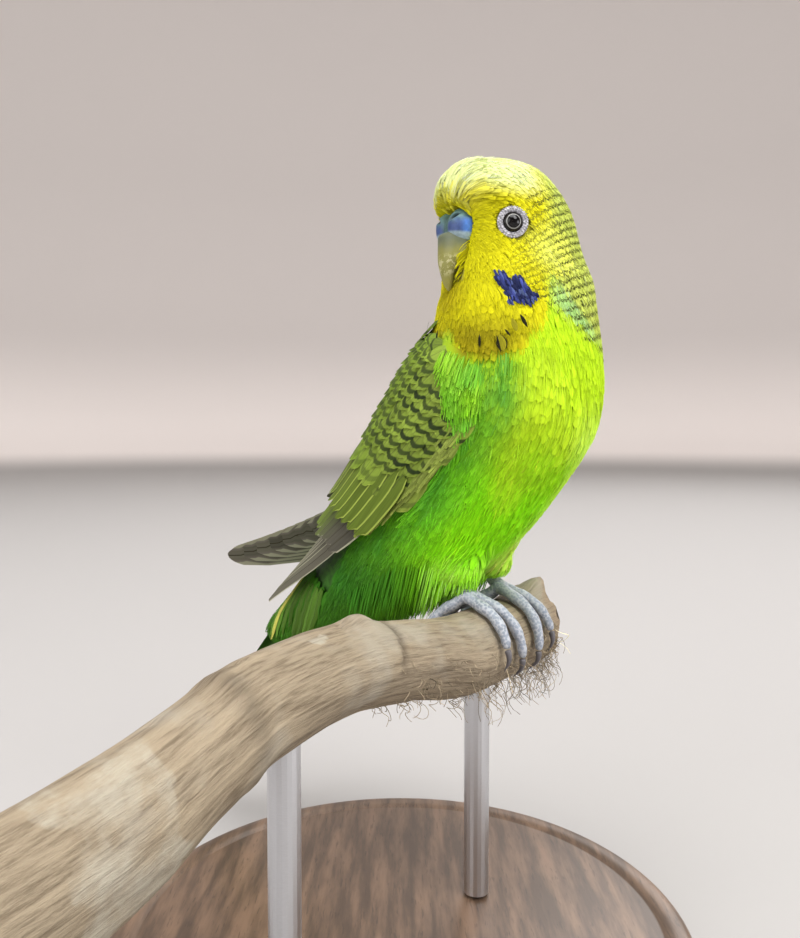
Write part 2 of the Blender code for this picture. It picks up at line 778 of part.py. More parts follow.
def tail():
    """Twelve feathers in graduated pairs below a root that carries the tail coverts."""
    middle, back, belly, half = [column(BODY_STATIONS, i, TAIL_CUT) for i in (1, 2, 3, 4)]
    rings = []
    for station, wide, deep in TAIL_ROOT:
        ring = []
        for k in range(SEGMENTS):
            angle = 2 * math.pi * k / SEGMENTS
            reach = (belly - middle if math.cos(angle) > 0 else middle - back) * deep
            offset = middle - TAIL_ROOT_LIFT * (1 - deep) + math.cos(angle) * reach
            ring.append(axis_point(station, offset, math.sin(angle) * half * wide))
        rings.append(ring)
    root = new_object("tail_feathers", loft(rings), TAIL_GREEN)
    pieces = []
    for number, (tip, near, far, half) in enumerate(TAIL_PAIRS):
        for side in (LEFT, RIGHT):
            middle_pair = number == 0
            level = (1.0 if side == RIGHT else 0.0) if middle_pair else number + 1
            path = []
            normals = []
            for t in span(0.0, 1.0, 6):
                station = TAIL_HOLD + (tip - TAIL_HOLD) * t
                y = side * (near + (far - near) * t)
                path.append(axis_point(station, TAIL_LEVEL + TAIL_STEP * level, y))
                normals.append(axis_point(0, -1.0))
            roll = 0.0 if middle_pair else side * TAIL_ROLL
            pieces.append(new_object("vane", vane(path, normals, half, roll, curve=30.0)))
    fuse(root, pieces)


def perch_rings(grow=0.0):
    """Rings along the branch, round under the feet, ridged away from them, with a slanting break."""
    near, far = PERCH_ENDS
    rings = []
    for y in span(near, far, 24):
        middle = perch_centre(y)
        away = min(max(-16.0 - y, 0.0) / 10.0, 1.0)
        ring = []
        for k in range(20):
            angle = 2 * math.pi * k / 20
            wave = PERCH_WAVE * math.sin(3 * angle + 0.05 * y) * away
            radius = column(PERCH_LINE, 2, -y) + wave + grow
            up = radius * math.cos(angle)
            slant = BREAK_SLANT * up * eased((y - 4.0) / (near - 4.0))
            ring.append(middle + np.array([radius * math.sin(angle), slant, up]))
        rings.append(ring)
    return rings


def perch():
    new_object("perch", loft(perch_rings()), BARK)


def stand():
    x, y = BASE_CENTRE
    rings = []
    for inset, lift in BASE_EDGE:
        radius = BASE_RADIUS - inset
        height = BASE_TOP - BASE_THICK + lift
        angles = [2 * math.pi * k / 48 for k in range(48)]
        rings.append([(x + radius * math.cos(a), y + radius * math.sin(a), height) for a in angles])
    new_object("stand_base", loft(rings), DARK_WOOD)
    for number, place in enumerate(ROD_PLACES, 1):
        top = perch_centre(place)[2]
        points = [(0, place, z) for z in span(BASE_TOP + GAP, top, 3)]
        rod = new_object(f"stand_rod_{number}", tube(points, [ROD_RADIUS] * 3, (0, 1, 0), 20), STEEL)
        cut(rod, new_object("tool", loft(perch_rings(GAP))))


def settle():
    """Gives the model in metres, turned to the view by an empty that stands it on the floor."""
    things = [o for o in bpy.data.objects if o.type == "MESH"]
    turn = Matrix.Rotation(BODY_YAW - math.pi / 2, 4, "Z")
    points = [turn @ v.co * MM for o in things for v in o.data.vertices]
    low = [min(p[i] for p in points) for i in range(3)]
    high = [max(p[i] for p in points) for i in range(3)]
    holder = bpy.data.objects.new("holder", None)
    bpy.context.scene.collection.objects.link(holder)
    holder.rotation_euler.z = BODY_YAW - math.pi / 2
    holder.location = (-(low[0] + high[0]) / 2, -(low[1] + high[1]) / 2, -low[2])
    for thing in things:
        thing.data.transform(Matrix.Scale(MM, 4))
        thing.data.shade_smooth()
        thing.data.set_sharp_from_angle(angle=SHARP_ANGLE)
        thing.parent = holder


def main():
    for old in list(bpy.data.objects):
        bpy.data.objects.remove(old)
    body()
    head()
    for side, word in ((LEFT, "left"), (RIGHT, "right")):
        leg(side, word)
        wing_primaries(side, f"wing_{word}_primaries")
        wing_secondaries(side, f"wing_{word}_secondaries")
        wing_coverts(side, f"wing_{word}_coverts")
    tail()
    perch()
    stand()
    settle()


GREEN = material("green plumage", (0.25, 0.5, 0.08))
YELLOW_GREEN = material("yellow-green plumage", (0.6, 0.66, 0.1))
YELLOW = material("yellow plumage", (0.8, 0.72, 0.12))
OLIVE = material("olive feathers", (0.36, 0.36, 0.14))
OLIVE_YELLOW = material("olive coverts", (0.5, 0.5, 0.18))
OLIVE_GREY = material("grey-olive feathers", (0.32, 0.31, 0.25))
TAIL_GREEN = material("green tail feathers", (0.2, 0.42, 0.16))
EYE_BLACK = material("dark eye", (0.01, 0.01, 0.012), 0.08)
CERE_BLUE = material("blue cere", (0.12, 0.3, 0.55), 0.45)
HORN = material("olive horn", (0.45, 0.42, 0.24), 0.4)
FOOT_GREY = material("blue-grey scales", (0.4, 0.42, 0.5), 0.55)
CLAW_GREY = material("dark claw", (0.16, 0.15, 0.16), 0.35)
BARK = material("bark", (0.4, 0.3, 0.2), 0.85)
DARK_WOOD = material("dark wood", (0.12, 0.08, 0.05), 0.4)
STEEL = material("steel rod", (0.6, 0.6, 0.62), 0.3, 1.0)


if __name__ == "__main__":
    main()
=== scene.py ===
"""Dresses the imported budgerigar: plumage, face, feet, branch and stand, lit in a plain studio."""

import json
import math

import bmesh
import bpy
import numpy as np
from mathutils import Matrix, Vector
from mathutils.bvhtree import BVHTree

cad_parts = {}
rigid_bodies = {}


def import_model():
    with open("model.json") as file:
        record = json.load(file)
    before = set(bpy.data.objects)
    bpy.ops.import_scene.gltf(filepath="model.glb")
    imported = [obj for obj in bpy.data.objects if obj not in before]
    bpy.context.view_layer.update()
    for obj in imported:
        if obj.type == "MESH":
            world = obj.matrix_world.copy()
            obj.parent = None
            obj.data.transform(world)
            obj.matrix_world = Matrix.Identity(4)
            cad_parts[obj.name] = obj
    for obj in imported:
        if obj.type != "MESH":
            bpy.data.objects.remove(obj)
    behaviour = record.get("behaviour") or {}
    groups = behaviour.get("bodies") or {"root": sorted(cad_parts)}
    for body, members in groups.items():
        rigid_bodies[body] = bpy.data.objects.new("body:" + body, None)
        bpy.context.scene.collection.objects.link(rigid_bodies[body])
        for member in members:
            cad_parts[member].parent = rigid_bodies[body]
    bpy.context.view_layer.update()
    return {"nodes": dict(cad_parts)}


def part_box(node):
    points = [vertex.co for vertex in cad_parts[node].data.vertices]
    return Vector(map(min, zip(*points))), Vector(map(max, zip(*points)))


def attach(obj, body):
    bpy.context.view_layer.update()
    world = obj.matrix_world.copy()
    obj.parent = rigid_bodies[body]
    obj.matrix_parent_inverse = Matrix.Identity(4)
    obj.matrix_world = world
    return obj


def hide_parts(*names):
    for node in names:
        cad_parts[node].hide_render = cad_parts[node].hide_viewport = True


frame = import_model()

bl_info = {
    "name": "Perched budgerigar",
    "version": (1, 0, 0),
    "blender": (4, 5, 0),
    "location": "View3D > Sidebar > Budgerigar",
    "description": "Builds a life-size budgerigar with its plumage on a branch and a stand",
    "category": "Object",
}

MM = 0.001
RIGHT, LEFT = -1, 1

# The bird's own frame, in millimetres: X ahead, Y to its left, Z up, zero on top of the branch
# between the feet. The model is turned from it to the view and set on its base.
VIEW_TURN = math.radians(-36)
BASE_FROM_FEET = np.array((-8.0, -26.0, -69.0))
BODY_PITCH = math.radians(55)
HEAD_TURN = math.radians(-114)
HEAD_CENTRE = np.array((5.0, 0.0, 89.0))
BODY_AXIS_OFFSET = -27.0

FLESH = ("head", "neck", "torso", "vent", "rump", "thigh_left", "thigh_right")


def turned(angle):
    c, s = math.cos(angle), math.sin(angle)
    return np.array(((c, -s, 0.0), (s, c, 0.0), (0.0, 0.0, 1.0)))


def feet_place():
    low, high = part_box("stand_base")
    top = np.array(((low.x + high.x) / 2, (low.y + high.y) / 2, high.z))
    return top - turned(VIEW_TURN) @ BASE_FROM_FEET * MM


FEET = feet_place()


def to_model(points):
    """Millimetres in the bird's frame to metres in the model's."""
    return np.asarray(points, float) @ turned(VIEW_TURN).T * MM + FEET


def to_bird(points):
    return (np.asarray(points, float) - FEET) / MM @ turned(VIEW_TURN)


def head_place(ahead, left, up):
    """A point given from the head's own centre."""
    return HEAD_CENTRE + turned(HEAD_TURN) @ np.array((ahead, left, up), float)


def head_view(points):
    """Points as ahead, left and up of the head's centre."""
    return (points - HEAD_CENTRE) @ turned(HEAD_TURN)


def unit(vectors):
    size = np.linalg.norm(vectors, axis=-1, keepdims=True)
    return vectors / np.maximum(size, 1e-9)


def rise(low, high, value):
    """A smooth step from 0 at low to 1 at high."""
    t = np.clip((np.asarray(value, float) - low) / (high - low), 0.0, 1.0)
    return t * t * (3 - 2 * t)


def lattice_chance(cells, seed):
    mixed = cells[..., 0] * 374761393 + cells[..., 1] * 668265263 + cells[..., 2] * 2147483647
    mixed = (mixed + seed * 144269504) & 0xFFFFFFFF
    mixed = ((mixed ^ (mixed >> 13)) * 1274126177) & 0xFFFFFFFF
    return ((mixed ^ (mixed >> 16)) & 0xFFFF) / 65535.0


def cloud(points, size, seed=0):
    """Smooth random values between 0 and 1, with features of about the given size."""
    scaled = np.asarray(points, float) / size
    cell = np.floor(scaled).astype(np.int64)
    t = scaled - cell
    t = t * t * (3 - 2 * t)
    total = 0.0
    for corner in np.ndindex(2, 2, 2):
        share = np.prod(np.where(np.array(corner), t, 1 - t), axis=-1)
        total = total + share * lattice_chance(cell + np.array(corner), seed)
    return total


# ---------------------------------------------------------------- sizes and colours


def length(name, text, value):
    return bpy.props.FloatProperty(name=name, description=text, default=value, unit="LENGTH")


def colour(name, text, value):
    return bpy.props.FloatVectorProperty(
        name=name, description=text, default=value, subtype="COLOR", size=3, min=0, max=1
    )


class PlumageSettings(bpy.types.PropertyGroup):
    """Depth, density and colours of the body's feathers."""

    head_depth: length("Head coat", "Depth of the feathers over the head's skin", 0.0009)
    body_depth: length("Body coat", "Depth of the feathers over the body's skin", 0.0014)
    face_pitch: length("Face rows", "Distance between rows of feathers at the bill", 0.0008)
    body_pitch: length("Body rows", "Distance between rows of feathers on the belly", 0.0018)
    crown: colour("Crown", "Pale yellow of the crown", (0.68, 0.75, 0.31))
    mask: colour("Mask", "Yellow of the face and throat", (0.64, 0.60, 0.003))
    nape: colour("Nape", "Yellow-green under the bars of the nape", (0.48, 0.56, 0.09))
    ear: colour("Ear coverts", "Pale yellow behind the eye", (0.72, 0.76, 0.10))
    bars: colour("Bars", "Dark olive of the head's bars", (0.05, 0.06, 0.008))
    cheek: colour("Cheek patch", "Violet blue of the cheek patches", (0.025, 0.035, 0.22))
    neck_side: colour("Neck side", "Grey teal patch behind the cheek", (0.34, 0.60, 0.18))
    breast: colour("Breast", "Lime green of the breast", (0.46, 0.71, 0.008))
    belly: colour("Belly", "Apple green of the belly", (0.28, 0.84, 0.004))
    shoulder: colour("Shoulder", "Emerald beside the wing's edge", (0.05, 0.33, 0.034))
    vent: colour("Vent", "Deep green under the tail", (0.05, 0.17, 0.006))
    down: colour("Down", "Pale down over the legs", (0.60, 0.70, 0.40))


class WingSettings(bpy.types.PropertyGroup):
    """Colours of the wing and tail feathers."""

    olive: colour("Covert", "Olive of the covert feathers", (0.135, 0.21, 0.02))
    edge: colour("Edge", "Yellow-green edge of the coverts", (0.35, 0.44, 0.075))
    crescent: colour("Crescent", "Dark crescent near a covert's tip", (0.014, 0.026, 0.007))
    band: colour("Band", "Pale lower edge of the folded wing", (0.235, 0.30, 0.055))
    flight: colour("Flight feather", "Grey brown of the flight feathers", (0.115, 0.108, 0.082))
    flight_edge: colour("Flight edge", "Pale edge of the flight feathers", (0.46, 0.46, 0.32))
    tail: colour("Tail", "Green of the tail feathers", (0.07, 0.18, 0.03))
    tail_side: colour("Tail side", "Olive green beside the tail's root", (0.10, 0.22, 0.025))
    tail_flash: colour("Tail flash", "Yellow of the tail's side feathers", (0.62, 0.62, 0.12))
    tail_centre: colour("Tail centre", "Blue green of the longest pair", (0.02, 0.11, 0.12))


class FaceSettings(bpy.types.PropertyGroup):
    """Sizes and colours of eyes, cere and bill."""

    eye_radius: length("Eye", "Radius of the eyeball", 0.0029)
    pupil_radius: length("Pupil", "Radius of the pupil", 0.0014)
    ring_radius: length("Eye ring", "Outer radius of the bare ring", 0.0034)
    iris: colour("Iris", "Pale grey of the iris ring", (0.34, 0.34, 0.33))
    ring: colour("Bare ring", "Grey lilac of the bare ring", (0.50, 0.49, 0.53))
    cere_blue: colour("Cere", "Violet blue of the cere", (0.045, 0.085, 0.24))
    cere_teal: colour("Cere top", "Grey turquoise about the nostrils", (0.11, 0.23, 0.22))
    cere_edge: colour("Cere edge", "Bright blue of the cere's outer edge", (0.06, 0.19, 0.58))
    cere_rim: colour("Cere rim", "Pale lower rim of the cere", (0.36, 0.48, 0.52))
    horn: colour("Horn", "Olive yellow of the bill", (0.285, 0.275, 0.065))
    horn_top: colour("Horn top", "Blue grey at the root of the bill", (0.135, 0.16, 0.095))
    horn_pale: colour("Pale horn", "Flaking pale horn", (0.52, 0.49, 0.24))


class StandSettings(bpy.types.PropertyGroup):
    """Sizes and colours of feet, branch and stand."""

    scale: colour("Foot scales", "Blue grey of the feet", (0.26, 0.29, 0.35))
    scale_pale: colour("Scale net", "Whitish net between the scales", (0.46, 0.48, 0.52))
    claw: colour("Claw", "Dark horn of the claws", (0.07, 0.065, 0.07))
    bark: colour("Bark", "Tan of the bark", (0.305, 0.245, 0.165))
    bark_dark: colour("Bark cracks", "Brown of the cracks", (0.15, 0.11, 0.068))
    wood_grey: colour("Weathered wood", "Pale grey of the bare wood", (0.39, 0.355, 0.285))
    walnut: colour("Base", "Dark wood of the base", (0.13, 0.08, 0.05))
    steel: colour("Rods", "Brushed steel of the rods", (0.60, 0.60, 0.62))
    floor: colour("Floor", "Pale studio floor", (0.40, 0.388, 0.38))
    wall: colour("Wall", "Backdrop behind the floor", (0.66, 0.62, 0.60))


def settings(name):
    return getattr(bpy.context.scene, "budgerigar_" + name)


# ---------------------------------------------------------------- shader helpers


class Finish:
    """A material with a Principled BSDF, and short ways to add nodes to it."""

    def __init__(self, name, roughness=0.6, metallic=0.0, tree=None):
        if tree is None:
            self.material = bpy.data.materials.new(name)
            self.material.use_nodes = True
            tree = self.material.node_tree
            self.shader = tree.nodes["Principled BSDF"]
            self.shader.inputs["Roughness"].default_value = roughness
            self.shader.inputs["Metallic"].default_value = metallic
        self.tree = tree

    def node(self, kind, **given):
        made = self.tree.nodes.new(kind)
        for key, value in given.items():
            setattr(made, key, value)
        return made

    def feed(self, socket, value):
        if isinstance(value, bpy.types.NodeSocket):
            self.tree.links.new(value, socket)
        elif isinstance(value, (int, float)):
            socket.default_value = value
        else:
            value = tuple(value)
            full = len(value) == 3 and socket.type == "RGBA"
            socket.default_value = (*value, 1.0) if full else value

    def sum(self, operation, first, second=0.0, third=0.0, clamp=False):
        made = self.node("ShaderNodeMath", operation=operation, use_clamp=clamp)
        for socket, value in zip(made.inputs, (first, second, third)):
            self.feed(socket, value)
        return made.outputs[0]

    def step(self, low, high, value, out_low=0.0, out_high=1.0):
        made = self.node("ShaderNodeMapRange", interpolation_type="SMOOTHSTEP")
        for name, given in (
            ("Value", value),
            ("From Min", low),
            ("From Max", high),
            ("To Min", out_low),
            ("To Max", out_high),
        ):
            self.feed(made.inputs[name], given)
        return made.outputs[0]

    def mix(self, share, first, second, blend="MIX"):
        made = self.node("ShaderNodeMix", data_type="RGBA", blend_type=blend)
        self.feed(made.inputs["Factor"], share)
        self.feed(made.inputs["A"], first)
        self.feed(made.inputs["B"], second)
        return made.outputs["Result"]

    def attribute(self, name):
        return self.node("ShaderNodeAttribute", attribute_name=name)

    def uv(self, name):
        made = self.node("ShaderNodeUVMap", uv_map=name)
        split = self.node("ShaderNodeSeparateXYZ")
        self.feed(split.inputs[0], made.outputs[0])
        return split.outputs

    def place(self, x, y, z=0.0):
        made = self.node("ShaderNodeCombineXYZ")
        for socket, value in zip(made.inputs, (x, y, z)):
            self.feed(socket, value)
        return made.outputs[0]

    def spots(self, where, scale, detail=2.0, roughness=0.5):
        made = self.node("ShaderNodeTexNoise")
        self.feed(made.inputs["Vector"], where)
        made.inputs["Scale"].default_value = scale
        made.inputs["Detail"].default_value = detail
        made.inputs["Roughness"].default_value = roughness
        return made.outputs["Fac"]

    def cells(self, where, scale, feature="F1"):
        made = self.node("ShaderNodeTexVoronoi", feature=feature)
        self.feed(made.inputs["Vector"], where)
        made.inputs["Scale"].default_value = scale
        return made.outputs["Distance"]

    def body(self):
        """Object coordinates in metres."""
        return self.node("ShaderNodeTexCoord").outputs["Object"]

    def bump(self, height, distance, strength=1.0):
        made = self.node("ShaderNodeBump")
        made.inputs["Strength"].default_value = strength
        made.inputs["Distance"].default_value = distance
        self.feed(made.inputs["Height"], height)
        self.feed(self.shader.inputs["Normal"], made.outputs[0])

    def paint(self, value):
        self.feed(self.shader.inputs["Base Color"], value)

    def set(self, **given):
        for key, value in given.items():
            name = key.replace("_", " ")
            self.feed(self.shader.inputs[name], value)

    def group(self, tree):
        made = self.node("ShaderNodeGroup")
        made.node_tree = tree
        return made


def shared_group(name, inputs, outputs):
    """An empty node group with its sockets, and the Finish helper that fills it."""
    tree = bpy.data.node_groups.new(name, "ShaderNodeTree")
    for label, kind, value in inputs:
        socket = tree.interface.new_socket(label, in_out="INPUT", socket_type=kind)
        if value is not None:
            socket.default_value = value
    for label, kind in outputs:
        tree.interface.new_socket(label, in_out="OUTPUT", socket_type=kind)
    helper = Finish(name, tree=tree)
    start = tree.nodes.new("NodeGroupInput")
    end = tree.nodes.new("NodeGroupOutput")
    return tree, helper, start.outputs, end.inputs


FLOAT, COLOR, VECTOR = "NodeSocketFloat", "NodeSocketColor", "NodeSocketVector"


def barb_group():
    """Fine streaks that run out along a feather's barbs."""
    found = bpy.data.node_groups.get("Barb streaks")
    if found:
        return found
    tree, g, given, made = shared_group(
        "Barb streaks",
        (("Across", FLOAT, 0.5), ("Along", FLOAT, 0.5), ("Chance", FLOAT, 0.0), ("Count", FLOAT, 14.0)),
        (("Streak", FLOAT), ("Height", FLOAT)),
    )
    out = g.sum("SUBTRACT", given["Across"], 0.5)
    fan = g.sum("MULTIPLY", g.sum("MULTIPLY", out, given["Count"]), g.sum("SUBTRACT", 1.5, given["Along"]))
    where = g.place(fan, g.sum("MULTIPLY", given["Along"], 1.6), g.sum("MULTIPLY", given["Chance"], 57.0))
    noise = g.spots(where, 1.0, 2.0)
    g.feed(made["Streak"], g.step(0.3, 0.7, noise))
    g.feed(made["Height"], noise)
    return tree


def feather_finish(name, bar_colour, shaft=0.0, roughness=0.62, barbs=9.0, contrast=0.24, sheen=0.05,
                   band=(0.66, 0.86), rim=None, rings=False):
    """Feather material.

    Plumage holds the colour, and Marks the bar, pale edge and chance, with the phase of the bars
    that run on from feather to feather in its fourth value.
    """
    f = Finish(name, roughness)
    colour_in = f.attribute("Plumage").outputs["Color"]
    marks = f.attribute("Marks")
    split = f.node("ShaderNodeSeparateColor")
    f.feed(split.inputs[0], marks.outputs["Color"])
    bar, edge, chance = split.outputs
    u, v, _ = f.uv("Vane")
    streaks = f.group(barb_group())
    for key, value in (("Across", u), ("Along", v), ("Chance", chance)):
        f.feed(streaks.inputs[key], value)
    streaks.inputs["Count"].default_value = barbs
    shade = f.sum("MULTIPLY_ADD", streaks.outputs["Streak"], contrast, 1.0 - contrast * 0.6)
    own = f.sum("MULTIPLY_ADD", chance, 0.22, 0.89)
    level = f.sum("MULTIPLY", shade, own)
    tint = f.place(level, level, level)
    base = f.mix(1.0, colour_in, tint, "MULTIPLY")
    out = f.sum("ABSOLUTE", f.sum("SUBTRACT", u, 0.5))
    rim_v = f.sum("MULTIPLY_ADD", f.sum("MULTIPLY", out, out), 0.8, v)
    wobble = f.sum("MULTIPLY_ADD", f.sum("SUBTRACT", streaks.outputs["Height"], 0.5), 0.10, rim_v)
    pale = f.sum("MULTIPLY", f.step(0.86, 1.02, f.sum("MULTIPLY_ADD", out, 0.55, f.sum("MULTIPLY", v, 0.78))), edge)
    pale_colour = f.mix(1.0, colour_in, (1.9, 1.75, 2.0), "MULTIPLY")
    base = f.mix(pale, base, pale_colour)
    low, high = band
    dark = f.sum("MULTIPLY", f.step(low - 0.03, low + 0.03, wobble), f.step(high + 0.03, high - 0.03, wobble))
    if rings:
        arc = f.sum("MULTIPLY_ADD", f.sum("MULTIPLY", out, out), 1.5, marks.outputs["Alpha"])
        arc = f.sum("MULTIPLY_ADD", f.sum("SUBTRACT", streaks.outputs["Height"], 0.5), 0.4, arc)
        arc = f.sum("MULTIPLY_ADD", f.sum("SUBTRACT", chance, 0.5), 0.16, arc)
        dark = f.step(0.32, 0.39, f.sum("PINGPONG", arc, 0.5))
    base = f.mix(f.sum("MULTIPLY", dark, bar), base, bar_colour)
    if rim:
        tipward = f.sum("MULTIPLY_ADD", f.step(0.9, 1.0, v), 0.08, out)
        line = f.sum("MULTIPLY", f.step(0.41, 0.45, tipward), edge)
        base = f.mix(f.sum("MULTIPLY", line, 0.85), base, rim)
    if shaft:
        line = f.sum("MULTIPLY", f.step(0.035, 0.012, out), shaft)
        base = f.mix(line, base, (0.04, 0.035, 0.02))
    f.paint(base)
    f.set(Sheen_Weight=sheen, Sheen_Roughness=0.4, Sheen_Tint=(0.9, 1.0, 0.35), Specular_IOR_Level=0.12)
    f.bump(streaks.outputs["Height"], 0.00008, 0.7)
    return f.material


# ---------------------------------------------------------------- mesh helpers


def place_mesh(name, verts, faces, finish=None, sharp=60):
    """An object from points in the bird's frame and a list of faces."""
    mesh = bpy.data.meshes.new(name)
    sizes = np.concatenate([np.full(len(f), f.shape[1], np.int32) for f in faces])
    corners = np.concatenate([f.ravel() for f in faces]).astype(np.int32)
    mesh.vertices.add(len(verts))
    mesh.vertices.foreach_set("co", to_model(verts).astype(np.float32).ravel())
    mesh.loops.add(len(corners))
    mesh.loops.foreach_set("vertex_index", corners)
    mesh.polygons.add(len(sizes))
    starts = np.concatenate(([0], np.cumsum(sizes)[:-1])).astype(np.int32)
    mesh.polygons.foreach_set("loop_start", starts)
    mesh.update(calc_edges=True)
    mesh.validate()
    mesh.shade_smooth()
    if sharp:
        mesh.set_sharp_from_angle(angle=math.radians(sharp))
    made = bpy.data.objects.new(name, mesh)
    bpy.context.scene.collection.objects.link(made)
    if finish:
        mesh.materials.append(finish)
    return made


def write_uv(mesh, name, per_vertex):
    layer = mesh.uv_layers.new(name=name)
    index = np.empty(len(mesh.loops), np.int32)
    mesh.loops.foreach_get("vertex_index", index)
    layer.data.foreach_set("uv", per_vertex[index].astype(np.float32).ravel())


def write_colour(mesh, name, values):
    layer = mesh.color_attributes.new(name, "FLOAT_COLOR", "POINT")
    full = np.ones((len(values), 4), np.float32)
    full[:, : values.shape[1]] = values
    layer.data.foreach_set("color", full.ravel())


def feathers(name, bunch, finish, columns=5, outline=(0.5, 0.9, 1.0, 0.8), tip_round=0.5, ragged=0.12,
             thick=0.12, hollow=0.06, ridge=0.0, patch=0.003):
    """One mesh of many feathers.

    bunch holds, for each feather, points along its middle and the normals there, its half width,
    its colour along it, its marks and its place on the unwrap. Each feather is a closed vane: its
    upper face is a grid, and its lower face spans the same edge.
    """
    path, up, half = bunch["path"], unit(bunch["up"]), bunch["half"]
    count, rows, _ = path.shape
    along = unit(np.gradient(path, axis=1))
    side = unit(np.cross(along, up))
    up = np.cross(side, along)
    chance = np.random.default_rng(bunch.get("seed", 1))
    share = np.asarray(outline, float)[None, :, None] * half[:, None, None]
    across = np.linspace(-1, 1, columns)
    reach = share * across
    crown = (1 - across**2) * thick + ridge * (np.abs(across) < 0.3) - hollow * across**2 * half[:, None, None]
    curve = -(reach**2) / (2 * bunch.get("roundness", 18.0))
    points = path[:, :, None] + side[:, :, None] * reach[..., None]
    lift = (crown + curve) * np.ones((count, rows, columns))
    lift[:, 0] = curve[:, 0] - 0.02
    points = points + up[:, :, None] * lift[..., None]
    tip = -tip_round * across**2 * half[:, None]
    tip = tip - chance.random((count, columns)) * ragged * half[:, None] * 2
    points[:, -1] += along[:, -1, None] * tip[..., None]
    per = rows * columns
    first = np.arange(count)[:, None] * per
    grid = np.arange(per).reshape(rows, columns)
    top = np.stack((grid[:-1, :-1], grid[:-1, 1:], grid[1:, 1:], grid[1:, :-1]), -1).reshape(-1, 4)
    under = [(grid[i, 0], grid[i + 1, 0], grid[i + 1, -1], grid[i, -1]) for i in range(rows - 1)]
    fan = [(grid[-1, 0], grid[-1, k], grid[-1, k + 1]) for k in range(1, columns - 1)]
    fan += [(grid[0, 0], grid[0, k + 1], grid[0, k]) for k in range(1, columns - 1)]
    quads = np.concatenate((top, np.array(under)))
    faces = [(first[:, :, None] + quads[None]).reshape(-1, 4)]
    faces.append((first[:, :, None] + np.array(fan)[None]).reshape(-1, 3))
    made = place_mesh(name, points.reshape(-1, 3), faces, finish, 70)
    mesh = made.data
    v = np.linspace(0, 1, rows)
    local = np.stack(np.broadcast_arrays(across[None, :] / 2 + 0.5, v[:, None]), -1).reshape(per, 2)
    write_uv(mesh, "Vane", np.tile(local, (count, 1)))
    place = bunch["bake"][:, None] + (local[None] - 0.5) * patch
    write_uv(mesh, "OFBake", place.reshape(-1, 2))
    tint = bunch["colour"]
    if tint.ndim == 2:
        tint = np.repeat(tint[:, None], rows, 1)
    tint = np.repeat(tint[:, :, None], columns, 2).reshape(-1, 3)
    write_colour(mesh, "Plumage", tint)
    marks = np.repeat(bunch["marks"][:, None], per, 1)
    if "phase" in bunch:
        marks[..., 3] = np.repeat(bunch["phase"], columns, 1)
    marks = marks.reshape(-1, 4)
    write_colour(mesh, "Marks", marks)
    return made


def gathered(bunches):
    """Several bunches with the same number of rows as one."""
    keys = ("path", "up", "half", "colour", "marks", "bake")
    made = {k: np.concatenate([b[k] for b in bunches]) for k in keys}
    made["seed"] = bunches[0].get("seed", 1)
    return made


def picked(bunch, chosen):
    made = {k: v[chosen] if isinstance(v, np.ndarray) else v for k, v in bunch.items()}
    return made


def settle_piece(piece, slot, *nodes):
    """Ties a piece to the model, and hides the nodes that it stands for. The slot is not used."""
    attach(piece, "root")
    if nodes:
        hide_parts(*nodes)
    return piece


def clear_selection():
    for thing in bpy.context.view_layer.objects:
        thing.select_set(False)


def apply_all(thing):
    """Applies the modifiers of a piece in order."""
    clear_selection()
    thing.select_set(True)
    bpy.context.view_layer.objects.active = thing
    for step in list(thing.modifiers):
        bpy.ops.object.modifier_apply(modifier=step.name)


# ---------------------------------------------------------------- skin and lie of the plumage


class Hide:
    """The bird's skin as arrays in its own frame: points, normals, lie of the feathers and rows."""


hide = Hide()


def skin_object():
    """The flesh nodes merged to one surface and smoothed."""
    joined = bmesh.new()
    for node in FLESH:
        part = bmesh.new()
        part.from_mesh(frame["nodes"][node].data)
        bmesh.ops.remove_doubles(part, verts=part.verts, dist=0.000002)
        mesh = bpy.data.meshes.new("part")
        part.to_mesh(mesh)
        part.free()
        joined.from_mesh(mesh)
        bpy.data.meshes.remove(mesh)
    for side in (LEFT, RIGHT):
        centre = head_place(7.0, side * 9.4, -1.9)
        place = Matrix.Translation(Vector(to_model(centre)))
        bmesh.ops.create_uvsphere(joined, u_segments=16, v_segments=10, radius=0.0027, matrix=place)
    mesh = bpy.data.meshes.new("skin")
    joined.to_mesh(mesh)
    joined.free()
    made = bpy.data.objects.new("skin", mesh)
    bpy.context.scene.collection.objects.link(made)
    cover = made.modifiers.new("cover", "REMESH")
    cover.mode = "VOXEL"
    cover.voxel_size = 0.0009
    ease = made.modifiers.new("ease", "SMOOTH")
    ease.factor = 0.5
    ease.iterations = 10
    apply_all(made)
    return made


def spread_value(value, edges, count, rounds):
    for _ in range(rounds):
        total = np.zeros_like(value)
        np.add.at(total, edges[:, 0], value[edges[:, 1]])
        np.add.at(total, edges[:, 1], value[edges[:, 0]])
        value = (value + total) / (1 + count)
    return value


def solve_rows(points, edges, lie):
    """A value that grows by one for each millimetre along the lie, as evenly as it can."""
    a, b = edges[:, 0], edges[:, 1]
    target = np.einsum("ij,ij->i", (lie[a] + lie[b]) / 2, points[b] - points[a])
    size = len(points)

    def spread(x):
        d = x[b] - x[a]
        return np.bincount(b, d, size) - np.bincount(a, d, size)

    right = np.bincount(b, target, size) - np.bincount(a, target, size)
    x = -points[:, 2] * 1.0
    residue = right - spread(x)
    step = residue.copy()
    old = residue @ residue
    for _ in range(600):
        across = spread(step)
        scale = old / (step @ across)
        x += scale * step
        residue -= scale * across
        new = residue @ residue
        if new < 1e-4:
            break
        step = residue + step * new / old
        old = new
    return x


BILL_ROOT = head_place(13.5, 0.0, -3.0)


